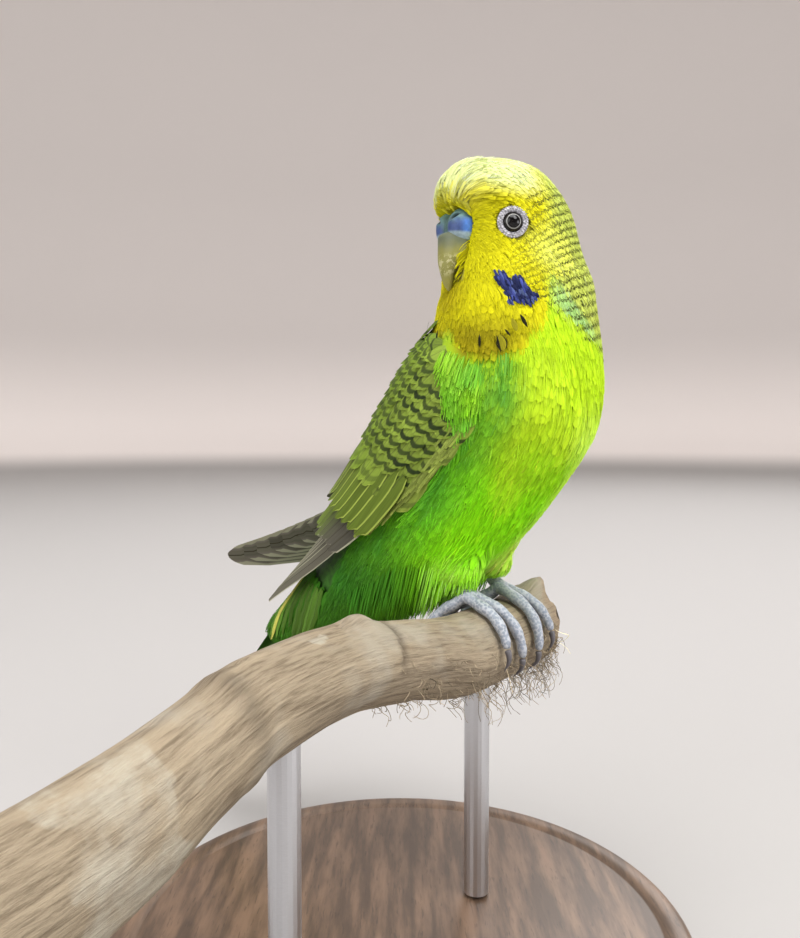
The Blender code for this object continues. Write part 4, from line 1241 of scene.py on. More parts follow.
def clear_of_face(points, grow=0.0):
    """True where a feather may stand: off the eye rings, the cere and the bill."""
    head = head_view(points)
    free = np.ones(len(points), bool)
    for side in (LEFT, RIGHT):
        aim = np.array((math.cos(math.radians(66)), side * math.sin(math.radians(66)), 0.0))
        gap = head - np.array((8.0, side * 10.65, -1.35))
        along = gap @ aim
        off = np.linalg.norm(gap - along[:, None] * aim, axis=1)
        free &= ~((off < 3.55 + grow) & (along > -3.0))
    ahead, out, up = head.T
    cere = ((out / 4.9) ** 2 + ((up + 1.3) / 4.2) ** 2 < (1.0 + grow * 0.2) ** 2) & (ahead > 8.0)
    bill = (np.abs(out) < 4.2 + grow) & (up < 0.0) & (up > -13.0) & (ahead > 12.0)
    return free & ~cere & ~bill


def clear_of_wings(points):
    station = points[:, 0] * math.cos(BODY_PITCH) + points[:, 2] * math.sin(BODY_PITCH)
    offset = points[:, 0] * math.sin(BODY_PITCH) - points[:, 2] * math.cos(BODY_PITCH)
    angle = np.degrees(np.arctan2(np.abs(points[:, 1]), -(offset - BODY_AXIS_OFFSET)))
    first, last = arm_edges(station)
    low = np.where(station > 14, first + 8.0, 24.0)
    high = np.where(station > 14, last - 12.0, 70.0)
    under = (angle > low) & (angle < high) & (station < 45.0) & (station > -22.0)
    return ~under


def coat_depth(points):
    """Height of the feathers' tips over the skin, more on the brow and the throat."""
    given = settings("plumage")
    head = head_view(points)
    z = points[:, 2]
    depth = given.head_depth + (given.body_depth - given.head_depth) * rise(74.0, 56.0, z)
    depth = depth / MM
    brow = rise(8.0, 15.0, head[:, 0]) * rise(2.6, 5.0, head[:, 2]) * rise(14.0, 9.0, head[:, 2])
    throat = rise(8.0, 13.0, head[:, 0]) * rise(-13.0, -17.0, head[:, 2]) * rise(-32.0, -26.0, head[:, 2])
    near_bill = rise(9.0, 5.5, np.linalg.norm(points - BILL_ROOT, axis=1))
    return depth * (1 - 0.4 * near_bill) + 1.5 * brow + 0.7 * throat


def coat_bunch(seed, start, end, pitch_at, gap_at, reach, half, samples, yaw, spread=0.12, thin_bars=0.0):
    """Feathers in rows between two row values. reach is in rows and half in gaps."""
    roots, pitch, places = root_rows(start, end, pitch_at, gap_at, seed)
    chance = np.random.default_rng(seed + 100)
    keep = clear_of_face(roots) & clear_of_wings(roots)
    if thin_bars:
        strength = bar_strength(roots, places[:, 1])
        keep &= chance.random(len(roots)) > strength * thin_bars
    roots, pitch, places = roots[keep], pitch[keep], places[keep]
    if len(roots) < 4:
        return None
    rate = on_hide(roots)[4]
    size = pitch * reach / rate * chance.uniform(1 - spread, 1 + spread, len(roots))
    depth = coat_depth(roots) * chance.uniform(0.93, 1.05, len(roots))
    low = depth - np.interp(places[:, 1], (0, 24, 60), (0.3, 0.4, 0.65))
    for _ in range(3):
        found = laid(roots, size, depth, seed, yaw, samples, low)
        size = np.where(clear_of_face(found["path"][:, -1], -0.1), size, size * 0.55)
    free = clear_of_face(found["path"][:, -1], -0.2)
    middle = found["path"][:, -2]
    strength = bar_strength(middle, places[:, 1] + 2 * pitch)
    gaps = np.array([gap_at(v) for v in places[:, 1]])
    marks = np.stack((strength * np.where(middle[:, 2] > 44, 0.95, 0.7), 0.3 + 0.4 * strength,
                      chance.random(len(roots)), np.ones(len(roots))), 1)
    bunch = {
        "path": found["path"],
        "up": found["up"],
        "half": gaps * half * chance.uniform(0.85, 1.15, len(roots)),
        "colour": plumage(middle),
        "marks": marks,
        "bake": bake_place(places),
        "phase": bar_phase(found["rows"][:, None] + (size * rate)[:, None] * np.linspace(0, 1, samples)),
        "seed": seed,
    }
    return picked(bunch, free)


# Fine strands over the feathers: name, first and last row value, pitch, gap, half width, length, slot
STRANDS = (
    ("strands_face", -14.0, 14.0, 0.9, 0.42, 0.085, 2.2, "yellow_plumage"),
    ("strands_head", 14.0, 34.0, 1.0, 0.48, 0.1, 3.0, "yellow_plumage"),
    ("strands_throat", 32.0, 52.0, 1.1, 0.55, 0.11, 4.6, "yellow_plumage"),
    ("strands_breast", 50.0, 66.0, 0.95, 0.42, 0.11, 5.6, "green_plumage"),
    ("strands_side", 66.0, 82.0, 0.95, 0.42, 0.11, 6.0, "green_plumage"),
    ("strands_belly", 82.0, 100.0, 0.95, 0.42, 0.11, 6.2, "green_plumage"),
    ("strands_vent", 100.0, 150.0, 1.2, 0.5, 0.12, 7.0, "green_plumage"),
)


class BUDGERIGAR_OT_coat(bpy.types.Operator):
    """Body feathers in rows over the skin from the bill to the vent, with fine strands on them"""

    bl_idname = "budgerigar.coat"
    bl_label = "Coat"

    def execute(self, context):
        given = settings("plumage")
        finishes = {
            "yellow_plumage": feather_finish("Yellow feathers", given.bars, barbs=8.0, contrast=0.16, rings=True),
            "green_plumage": feather_finish("Green feathers", given.bars, barbs=22.0, contrast=0.2, rings=True),
        }
        for seed, (name, start, end, slot, columns, samples) in enumerate(ZONES, 20):
            bunch = coat_bunch(seed, start, end, row_pitch, row_gap, 2.7, 0.6, samples, 5.0)
            outline = (0.45, 0.9, 1.0, 0.72) if samples == 4 else (0.45, 0.85, 1.0, 0.95, 0.62)
            ragged = 0.7 if slot == "green_plumage" else 0.35
            made = feathers(name, bunch, finishes[slot], columns, outline, 0.5, ragged, 0.05, 0.03)
            settle_piece(made, slot)
        for seed, (name, start, end, pitch, gap, half, size, slot) in enumerate(STRANDS, 40):
            bunch = coat_bunch(seed, start, end, lambda v: pitch, lambda v: gap, size / pitch, half / gap, 5,
                               7.0, 0.3, 0.3)
            chance = np.random.default_rng(seed)
            count = len(bunch["path"])
            bunch["path"] = bunch["path"] + unit(bunch["up"]) * 0.1
            yellow = slot == "yellow_plumage"
            shade = np.exp(chance.normal(0.0, 0.08 if yellow else 0.15, (count, 1)))
            pale = (1.1, 1.1, 2.0) if yellow else (1.4, 1.2, 2.5)
            shade = np.where(chance.random((count, 1)) < 0.22, shade * pale, shade * (1.0, 1.0, 1.0))
            bunch["colour"] = np.clip(bunch["colour"] * shade, 0, 1)
            made = feathers(name, bunch, finishes[slot], 3, (0.5, 1.0, 0.95, 0.7, 0.2), 0.0, 0.0, 0.05, 0.0)
            settle_piece(made, slot)
        return {"FINISHED"}


# Outline of the cheek patch: degrees round from the bill, and height over the head's centre
CHEEK_PATCH = np.array(
    ((40.2, -11.5), (46.5, -11.1), (48.6, -12.6), (53.0, -14.0), (55.4, -12.6), (60.5, -13.1), (62.6, -14.9),
     (70.3, -17.1), (68.2, -19.4), (62.6, -18.9), (57.7, -18.5), (53.5, -19.1), (48.6, -17.8), (46.5, -15.3),
     (40.9, -13.1)),
    float,
)
# Spots of the throat: degrees round, height, length, half width, lean, and 1 for an olive middle
THROAT_SPOTS = (
    (-30.0, -20.4, 2.4, 0.28, 0, 0), (-1.0, -23.8, 2.7, 0.38, 0, 0), (34.0, -25.6, 3.0, 0.34, 4, 0),
    (47.0, -26.4, 4.0, 0.95, 14, 1), (50.0, -24.2, 1.9, 0.24, 38, 0), (59.5, -21.8, 3.2, 0.42, 26, 0),
    (-34.0, -25.6, 3.0, 0.34, 4, 0), (-47.0, -26.4, 4.0, 0.95, 14, 1), (-59.5, -21.8, 3.2, 0.42, 26, 0),
    (54.5, -22.6, 3.2, 0.62, 18, 2), (-54.5, -22.6, 3.2, 0.62, 18, 2),
)


def inside(outline, points):
    """True for the points inside a closed outline."""
    hit = np.zeros(len(points), bool)
    for (x0, y0), (x1, y1) in zip(outline, np.roll(outline, -1, axis=0)):
        crosses = (y0 > points[:, 1]) != (y1 > points[:, 1])
        level = (points[:, 1] - y0) / (y1 - y0 + 1e-12)
        hit ^= crosses & (points[:, 0] < x0 + level * (x1 - x0))
    return hit


def on_head(degrees, heights):
    """Places on the head's skin by degrees round from the bill and height over its centre."""
    turn = np.radians(degrees)
    local = np.stack((18 * np.cos(turn), 18 * np.sin(turn), heights), -1)
    return on_hide(HEAD_CENTRE + local @ turned(HEAD_TURN).T)[0]


def hanging(roots, size, lean, level, samples, bow=0.35):
    """Middle lines that hang down over the head's skin, leaning round it by some degrees."""
    place, normal, _, _, _ = on_hide(roots)
    down = np.array((0.0, 0.0, -1.0)) - normal * -normal[:, 2:3]
    down = unit(down)
    side = np.cross(normal, down)
    lean = np.radians(lean)[:, None]
    ahead = down * np.cos(lean) + side * np.sin(lean)
    end, end_normal = on_hide(place + ahead * size[:, None])[:2]
    t = np.linspace(0, 1, samples)[None, :, None]
    up = unit(normal[:, None] * (1 - t) + end_normal[:, None] * t)
    path = place[:, None] * (1 - t) + end[:, None] * t + up * (level[:, None, None] + bow * t * (1 - t))
    return path, up


def mark_bunch(path, up, half, tone, seed):
    count = len(path)
    chance = np.random.default_rng(seed)
    marks = np.stack((np.zeros(count), np.zeros(count), chance.random(count), np.ones(count)), 1)
    head = head_view(path[:, 0])
    turn = np.degrees(np.arctan2(head[:, 1], head[:, 0])) / 360 + 0.5
    bake = np.stack((turn, 0.5 + head[:, 2] / 80.0), 1)
    return {"path": path, "up": up, "half": half, "colour": tone, "marks": marks, "bake": bake, "seed": seed}


class BUDGERIGAR_OT_marks(bpy.types.Operator):
    """Violet cheek patches, spots of the throat and bristles at the gape"""

    bl_idname = "budgerigar.marks"
    bl_label = "Cheek patches and spots"

    def execute(self, context):
        given = settings("plumage")
        chance = np.random.default_rng(61)
        finish = feather_finish("Marked feathers", given.bars, barbs=7.0, contrast=0.3)
        low, high = CHEEK_PATCH.min(0), CHEEK_PATCH.max(0)
        spots = low + chance.random((900, 2)) * (high - low)
        spots = spots[inside(CHEEK_PATCH, spots)][:230]
        size = chance.uniform(1.7, 2.9, len(spots))
        end = spots + np.stack((0.9 * size, -0.95 * size), 1)
        size = np.where(inside(CHEEK_PATCH, end), size, size * 0.62)
        bunches = []
        for side in (LEFT, RIGHT):
            roots = on_head(side * spots[:, 0], spots[:, 1])
            lean = side * chance.normal(24.0, 5.0, len(spots))
            path, up = hanging(roots, size, lean, 0.95 + 0.35 * chance.random(len(spots)), 5)
            tone = np.array(given.cheek) * (0.7, 0.7, 0.45) * np.exp(chance.normal(0, 0.5, (len(spots), 1)))
            tone = np.clip(tone + (chance.random((len(spots), 1)) < 0.1) * np.array((0.05, 0.07, 0.14)), 0, 1)
            bunches.append(mark_bunch(path, up, np.full(len(spots), 0.27), tone, 62))
        cheeks = feathers("cheek_patches", gathered(bunches), finish, 3, (0.6, 1.0, 1.0, 0.8, 0.3), 0.1, 0.1, 0.08, 0.0)
        settle_piece(cheeks, "yellow_plumage")
        bunches = []
        black, olive = np.array((0.012, 0.011, 0.002)), np.array((0.26, 0.24, 0.008))
        for degrees, height, size, half, lean, kind in THROAT_SPOTS:
            root = on_head(np.array([degrees]), np.array([height - 2.1 + size / 2]))
            path, up = hanging(root, np.array([size]), np.array([math.copysign(lean, degrees)]), np.array([2.3 if abs(degrees) > 32 else 3.0]), 7, 0.2)
            tone = olive if kind else black
            if kind:
                path = path + up * 0.15
            bunches.append(mark_bunch(path, up, np.array([half]), tone[None], 63))
            if kind == 1:
                side = unit(np.cross(path[:, 1] - path[:, 0], up[:, 0]))[:, None]
                bunches.append(mark_bunch(path - up * 0.1, up, np.array([half * 1.3]), black[None], 64))
                edge = path + side * half * 0.7 + up * 0.1
                bunches.append(mark_bunch(edge, up, np.array([0.24]), black[None], 64))
        spots = feathers("throat_spots", gathered(bunches), finish, 7, (0.15, 0.6, 0.9, 1.0, 0.85, 0.5, 0.1), 0.3, 0.12, 0.05, 0.0)
        settle_piece(spots, "yellow_plumage")
        self.bristles(finish)
        return {"FINISHED"}

    def bristles(self, finish):
        """Bristles beside the bill that hide its lower half, and a fringe over the cere."""
        chance = np.random.default_rng(65)
        given = settings("plumage")
        count = 320
        side = np.where(chance.random(count) < 0.5, 1.0, -1.0)
        t = chance.random(count)
        beside = np.stack((12.6 + 2.4 * chance.random(count), side * (4.5 - 1.5 * t), -4.2 - 7.4 * t), 1)
        reach = np.stack((1.5 + 1.4 * chance.random(count), side * -0.75, -1.7 - 1.7 * chance.random(count)), 1)
        dark = (chance.random((count, 1)) < 0.5) & (t[:, None] > 0.6)
        tone = np.where(dark, (0.09, 0.08, 0.015), np.array(given.mask) * 0.9)
        over = chance.uniform(-5.3, 5.3, 1100)
        top = -1.2 + 4.3 * np.sqrt(np.maximum(1 - (over / 5.7) ** 2, 0.0))
        layer = chance.random(1100)
        bend = np.sqrt(np.maximum(1 - (over / 6.6) ** 2, 0.0))
        fringe = np.stack((11.0 + 3.2 * bend, over, top - 0.3 + 1.6 * layer), 1)
        far = (4.2 + 1.3 * chance.random(1100)) * bend
        rise_by = np.stack((far, 0.12 * over, 0.9 + 2.6 * layer), 1)
        # painted light: the fringe over the cere is coloured brighter than the mask to lift the shade in the hollow
        # above the cere
        brow = mixed(np.tile(np.array(given.mask) * 1.2, (1100, 1)), given.crown, 0.7 * layer)
        root, reach = np.vstack((beside, fringe)), np.vstack((reach, rise_by))
        tone = np.vstack((tone, brow)) * np.exp(chance.normal(0, 0.12, (len(root), 1)))
        s = np.linspace(0, 1, 5)[None, :, None]
        local = root[:, None] + reach[:, None] * s
        local[..., 0] += 0.5 * np.sin(np.pi * s[..., 0])
        path = HEAD_CENTRE + local @ turned(HEAD_TURN).T
        up = np.broadcast_to(unit(path[:, :1] - HEAD_CENTRE - (0, 0, -4)), path.shape)
        bunch = mark_bunch(path, up.copy(), np.full(len(root), 0.22), np.clip(tone, 0, 1), 66)
        made = feathers("bristles", bunch, finish, 3, (1.0, 1.0, 0.8, 0.6, 0.2), 0.0, 0.0, 0.05, 0.0)
        settle_piece(made, "yellow_plumage")


class BUDGERIGAR_OT_down(bpy.types.Operator):
    """Soft down that hangs from the thighs and the belly to the feet and the branch"""

    bl_idname = "budgerigar.down"
    bl_label = "Down"

    def execute(self, context):
        given = settings("plumage")
        chance = np.random.default_rng(71)
        finish = feather_finish("Down", given.bars, barbs=5.0, roughness=0.8)
        p, n = hide.points, hide.normals
        under = (p[:, 0] > -30) & (p[:, 0] < 3 - 0.35 * (p[:, 1] + 14)) & (p[:, 2] < 13) & (n[:, 2] < 0.15)
        under &= np.abs(p[:, 1]) < 15
        roots = p[under]
        roots = roots[chance.permutation(len(roots))[:4200]]
        roots = roots + chance.uniform(-0.4, 0.4, roots.shape)
        place, normal, lie, _, _ = on_hide(roots)
        leg = np.minimum(np.hypot(place[:, 0] + 5.0, place[:, 1] - 7.3), np.hypot(place[:, 0] + 5.0, place[:, 1] + 7.3))
        near_leg = rise(8.5, 4.5, leg)
        size = np.clip((place[:, 2] + 2.5) / 0.8, 4.0, 12.0) * chance.uniform(0.55, 1.1, len(place))
        fore = rise(-9.0, -4.0, place[:, 0])
        size = size * (1 - 0.62 * fore)
        ahead = unit(lie * 0.7 + np.array((0.0, 0.0, -0.9)) + normal * 0.25)
        tip = place + ahead * size[:, None]
        _, radius = perch_middle(np.clip(tip[:, 1], -20, 18))
        floor = -9.6 + np.sqrt(np.maximum(9.6**2 - np.minimum(np.abs(tip[:, 0]), 9.5) ** 2, 0.0))
        floor = np.where(np.abs(tip[:, 0]) < 9.5, floor + 0.3 + (0.1 + 2.4 * chance.random(len(tip)) ** 2) * near_leg, -30.0)
        tip[:, 2] = np.maximum(tip[:, 2], floor)
        s = np.linspace(0, 1, 5)[None, :, None]
        path = place[:, None] * (1 - s) + tip[:, None] * s + normal[:, None] * (0.9 * s * (1 - s) * 4 * 0.5)
        up = np.broadcast_to(normal[:, None], path.shape).copy()
        tone = plumage(tip)
        tone = mixed(tone, np.array(given.belly) * (1.2, 1.05, 3.0), near_leg * 0.7)
        white = near_leg * rise(6.5, 3.5, tip[:, 2]) * chance.random(len(tip)) ** 2
        tone = mixed(tone, given.down, white * 0.4)
        shade = np.exp(chance.normal(0, 0.12, (len(tip), 1)))
        count = len(tip)
        marks = np.stack((np.zeros(count), np.zeros(count), chance.random(count), np.ones(count)), 1)
        bake = np.stack((0.5 + place[:, 0] / 70.0, 0.5 + place[:, 1] / 40.0), 1)
        bunch = {"path": path, "up": up, "half": np.full(count, 0.15), "colour": np.clip(tone * shade, 0, 1),
                 "marks": marks, "bake": bake, "seed": 72}
        made = feathers("leg_down", bunch, finish, 3, (0.8, 1.0, 0.9, 0.7, 0.15), 0.0, 0.0, 0.05, 0.0)
        settle_piece(made, "green_plumage")
        return {"FINISHED"}


class BUDGERIGAR_OT_wings(bpy.types.Operator):
    """Folded wings: arm, rows of coverts, secondaries and primaries"""

    bl_idname = "budgerigar.wings"
    bl_label = "Wings"

    def execute(self, context):
        given = settings("wings")
        scaly = feather_finish("Barred coverts", given.crescent, 0.5, barbs=12.0, band=(0.70, 0.86))
        plain = feather_finish("Flight feathers", given.crescent, 0.9, barbs=26.0, rim=given.flight_edge)
        long_finish = feather_finish("Long coverts", given.crescent, 0.6, barbs=20.0, rim=given.edge)
        green = feather_finish("Shoulder feathers", given.crescent, barbs=16.0)
        short = (0.5, 0.9, 1.0, 0.96, 0.62)
        small = (0.55, 0.9, 1.0, 1.0, 0.92, 0.6)
        long = (0.5, 0.8, 0.95, 1.0, 1.0, 1.0, 0.97, 0.88, 0.55)
        flight = (0.5, 0.75, 0.9, 0.97, 1.0, 1.0, 1.0, 0.97, 0.9, 0.68)
        for side, word in ((LEFT, "left"), (RIGHT, "right")):
            seed = 300 + 50 * (side == LEFT)
            arm = arm_object(side, f"wing_{word}_arm", scaly)
            settle_piece(arm, "barred_wing", f"wing_{word}_coverts")
            for name, bunch, finish, columns, outline, round_tip, ragged, slot in (
                ("small_coverts", covert_rows(side, seed), scaly, 7, small, 0.5, 0.08, "barred_wing"),
                ("lower_edge", lower_edge_feathers(side, seed + 16), scaly, 5, small, 0.4, 0.1, "barred_wing"),
                ("mantle", mantle_plumage(side, seed + 17), scaly, 7, small, 0.5, 0.1, "barred_wing"),
                ("long_coverts", long_coverts(side, seed + 20), long_finish, 9, long, 0.55, 0.05, "barred_wing"),
                ("shoulder", shoulder_plumage(side, seed + 25), green, 5, short, 0.5, 0.2, "green_plumage"),
                ("flight", flight_feathers(side, seed + 30), plain, 11, flight, 0.7, 0.03, "flight_feathers"),
            ):
                ridge = 0.08 if name in ("long_coverts", "flight") else 0.0
                made = feathers(f"wing_{word}_{name}", bunch, finish, columns, outline, round_tip, ragged,
                                0.14, 0.05, ridge)
                nodes = (f"wing_{word}_primaries", f"wing_{word}_secondaries") if name == "flight" else ()
                settle_piece(made, slot, *nodes)
        return {"FINISHED"}


TAIL_PAIRS = (
    (-112.0, 0.9, 0.7, 4.6),
    (-97.0, 3.9, 3.8, 4.2),
    (-87.0, 4.4, 4.8, 4.0),
    (-78.0, 4.9, 5.6, 3.8),
    (-71.0, 5.3, 6.2, 3.6),
    (-65.0, 5.6, 6.6, 3.4),
)


def axis_point(station, offset, y):
    c, s = math.cos(BODY_PITCH), math.sin(BODY_PITCH)
    return np.stack(np.broadcast_arrays(station * c + offset * s, y, station * s - offset * c), -1)


class BUDGERIGAR_OT_tail(bpy.types.Operator):
    """Twelve tail feathers in steps, and the coverts over their roots"""

    bl_idname = "budgerigar.tail"
    bl_label = "Tail"

    def execute(self, context):
        given = settings("wings")
        finish = feather_finish("Tail feathers", given.crescent, 0.9, barbs=30.0, band=(0.8, 0.9))
        bunches = []
        samples = 12
        t = np.linspace(0, 1, samples)
        chance = np.random.default_rng(400)
        for number, (tip, near, far, half) in enumerate(TAIL_PAIRS):
            for side in (RIGHT, LEFT):
                middle = number == 0
                level = (0.7 if side == RIGHT else 0.0) if middle else number + 0.8
                station = -50.0 + (tip + 50.0) * t
                y = side * (near + (far - near) * t)
                path = axis_point(station, -48.8 + 0.85 * level + 0 * t, y)[None]
                up = np.broadcast_to(axis_point(0.0, -1.0, -side * 0.12 * (not middle)), path.shape)
                tone = np.array(given.tail_centre if middle else given.tail)
                rows = np.tile(tone, (samples, 1))
                if not middle:
                    flash = rise(0.2, 0.45, t) * rise(0.85, 0.7, t)
                    rows = mixed(rows, given.tail_flash, 0.55 * flash)
                bunches.append({
                    "path": path, "up": up, "half": np.array([half]), "colour": rows[None],
                    "marks": np.array([[0.0, 0.5, chance.random(), 1.0]]),
                    "bake": np.array([[0.1 + 0.07 * (number * 2 + (side == LEFT)), 0.5]]), "seed": 400,
                })
        bunch = gathered(bunches)
        bunch["roundness"] = 30.0
        outline = (0.5, 0.75, 0.9, 0.97, 1.0, 1.0, 0.98, 0.94, 0.86, 0.74, 0.56, 0.28)
        made = feathers("tail_vanes", bunch, finish, 13, outline, 0.8, 0.03, 0.22, 0.05, 0.12, 0.06)
        settle_piece(made, "tail_feathers", "tail_feathers")
        self.side_coverts(given, finish)
        return {"FINISHED"}


    def side_coverts(self, given, finish):
        """Long narrow coverts at the sides of the tail's root, one of them yellow."""
        chance = np.random.default_rng(410)
        bunches = []
        t = np.linspace(0, 1, 9)
        for side in (RIGHT, LEFT):
            for number in range(9):
                yellow = number == 8
                start = (-27.0, -42.5, 8.5) if yellow else (-22.0 - number, -34.0 - 1.3 * number, 10.5 - 0.4 * number)
                size = 22.0 if yellow else chance.uniform(14.0, 20.0)
                points = axis_point(start[0] - size * t, start[1] - 1.0 * t, side * (start[2] - 1.5 * t))
                place, normal = on_hide(points)[:2]
                path = place + normal * (1.35 + 0.5 * t + (0.35 if yellow else 0.0))[:, None]
                green = np.array(given.tail_side) * math.exp(chance.normal(0, 0.25))
                tone = np.array(given.tail_flash) if yellow else green
                bunches.append({
                    "path": path[None], "up": normal[None], "half": np.array([0.95 if yellow else 1.0]),
                    "colour": np.tile(tone, (1, 9, 1)), "marks": np.array([[0.0, 0.9, chance.random(), 1.0]]),
                    "bake": np.array([[0.05 * number + 0.5 * (side == LEFT), 0.2]]), "seed": 411,
                })
        made = feathers("tail_side_coverts", gathered(bunches), finish, 9,
                        (0.6, 0.9, 1.0, 1.0, 1.0, 0.95, 0.85, 0.65, 0.2), 0.4, 0.06, 0.12, 0.05, 0.08, 0.06)
        settle_piece(made, "tail_feathers")


# ---------------------------------------------------------------- pieces shaped in edit mode


def extruded(name, sides, radius, start, turn_axis, steps, finish=None):
    """A tube drawn out of a circle by extruding, turning and scaling its end step by step.

    start is the place of the circle, and each step holds a move, a scale and a turn.
    """
    clear_selection()
    quarter = (math.pi / 2, 0, 0) if turn_axis == "Y" else (0, 0, 0)
    bpy.ops.mesh.primitive_circle_add(vertices=sides, radius=radius, fill_type="NGON", location=start,
                                      rotation=quarter)
    made = bpy.context.object
    made.name = name
    bpy.ops.object.transform_apply(location=True, rotation=True, scale=True)
    bpy.ops.object.mode_set(mode="EDIT")
    bpy.ops.mesh.select_mode(type="FACE")
    bpy.ops.mesh.select_all(action="SELECT")
    centre = Vector(start)
    for move, scale, turn in steps:
        bpy.ops.mesh.extrude_region_move(TRANSFORM_OT_translate={"value": tuple(move)})
        centre = centre + Vector(move)
        bpy.ops.transform.resize(value=scale, center_override=centre)
        if turn:
            bpy.ops.transform.rotate(value=turn, orient_axis="Y", center_override=centre)
    bpy.ops.mesh.select_all(action="SELECT")
    bpy.ops.mesh.normals_make_consistent(inside=False)
    bpy.ops.object.mode_set(mode="OBJECT")
    if finish:
        made.data.materials.append(finish)
    return made


def points_of(thing):
    co = np.empty(len(thing.data.vertices) * 3, np.float32)
    thing.data.vertices.foreach_get("co", co)
    return co.reshape(-1, 3).astype(float)


def normals_of(thing):
    co = np.empty(len(thing.data.vertices) * 3, np.float32)
    thing.data.vertices.foreach_get("normal", co)
    return co.reshape(-1, 3).astype(float)


def put_points(thing, points):
    thing.data.vertices.foreach_set("co", np.asarray(points, np.float32).ravel())
    thing.data.update()


def subdivided(thing, levels=1):
    step = thing.modifiers.new("rounding", "SUBSURF")
    step.levels = step.render_levels = levels
    apply_all(thing)
    thing.data.shade_smooth()
    return thing


def ball(centre, radii, segments=32, rings=20):
    """A ball in a part's own frame, scaled to an ellipsoid with its size applied."""
    clear_selection()
    bpy.ops.mesh.primitive_uv_sphere_add(segments=segments, ring_count=rings, radius=1.0, location=centre)
    bpy.context.object.scale = radii
    bpy.ops.object.transform_apply(location=True, rotation=True, scale=True)
    return bpy.context.object


def joined(things, name):
    clear_selection()
    for thing in things:
        thing.select_set(True)
    bpy.context.view_layer.objects.active = things[0]
    if len(things) > 1:
        bpy.ops.object.join()
    made = bpy.context.object
    made.name = name
    return made


def remeshed(thing, size, smooth=4):
    cover = thing.modifiers.new("cover", "REMESH")
    cover.mode = "VOXEL"
    cover.voxel_size = size
    ease = thing.modifiers.new("ease", "SMOOTH")
    ease.factor = 0.5
    ease.iterations = smooth
    apply_all(thing)
    thing.data.shade_smooth()
    return thing


def from_head(thing):
    """Moves a piece made in the head's frame, in millimetres, to its place in the model."""
    local = points_of(thing)
    put_points(thing, to_model(HEAD_CENTRE + local @ turned(HEAD_TURN).T))
    return local


class BUDGERIGAR_OT_eyes(bpy.types.Operator):
    """Eyeballs, and the bare beaded rings round them"""

    bl_idname = "budgerigar.eyes"
    bl_label = "Eyes"

    def execute(self, context):
        given = settings("face")
        finish = self.eye_finish(given)
        ring_finish = self.ring_finish(given)
        for side, word in ((LEFT, "left"), (RIGHT, "right")):
            aim = math.radians(66) * side
            radius = given.eye_radius / MM
            eye = ball((0, 0, 0), (radius, radius, radius), 48, 32)
            local = points_of(eye)
            front = np.maximum(local[:, 0] / radius, 0.0)
            local[:, 0] += 0.28 * np.maximum(front - 0.72, 0.0) / 0.28
            off = np.hypot(local[:, 1], local[:, 2])
            turn = turned(aim)
            place = np.array((8.0, side * 10.65, -1.35))
            put_points(eye, local @ turn.T + place)
            from_head(eye)
            eye.name = f"eyeball_{word}"
            write_uv(eye.data, "Rings", np.stack((off / 4.0, (local[:, 0] > 0) * 1.0), 1))
            eye.data.shade_smooth()
            eye.data.materials.append(finish)
            settle_piece(eye, "eye", f"eye_{word}")
            clear_selection()
            bpy.ops.mesh.primitive_torus_add(major_segments=72, minor_segments=14, major_radius=2.8,
                                             minor_radius=0.66, location=(0, 0, 0),
                                             rotation=(0, math.pi / 2, 0))
            bpy.ops.object.transform_apply(location=True, rotation=True, scale=True)
            ring = bpy.context.object
            parts = [ring]
            for row, (reach, count, size, lift) in enumerate(((2.4, 26, 0.17, 0.58), (2.85, 30, 0.2, 0.72), (3.3, 34, 0.19, 0.5))):
                for k in range(count):
                    a = 2 * math.pi * (k + 0.5 * row) / count
                    bead = (lift, reach * math.cos(a), reach * math.sin(a))
                    clear_selection()
                    bpy.ops.mesh.primitive_uv_sphere_add(segments=8, ring_count=5, radius=size, location=bead)
                    parts.append(bpy.context.object)
            ring = joined(parts, f"eye_ring_{word}")
            local = points_of(ring)
            local[:, 0] = local[:, 0] * 0.75 + 1.68
            put_points(ring, local @ turn.T + place)
            from_head(ring)
            ring.data.shade_smooth()
            ring.data.materials.append(ring_finish)
            settle_piece(ring, "eye")
        return {"FINISHED"}

    def eye_finish(self, given):
        f = Finish("Eye", 0.08)
        off, _, _ = f.uv("Rings")
        radius = f.sum("MULTIPLY", off, 4.0)
        pupil = given.pupil_radius / MM
        ring = f.mix(f.step(pupil + 0.17, pupil + 0.27, radius), given.iris, (0.012, 0.01, 0.009))
        f.paint(f.mix(f.step(pupil, pupil + 0.1, radius), (0.003, 0.0025, 0.0025), ring))
        f.set(Specular_IOR_Level=0.3)
        return f.material

    def ring_finish(self, given):
        f = Finish("Bare ring", 0.5)
        beads = f.cells(f.body(), 1500.0)
        ring = Vector(given.ring)
        f.paint(f.mix(f.step(0.2, 0.65, beads), ring * 1.25, ring * 0.6))
        f.bump(beads, 0.0001, -0.6)
        return f.material


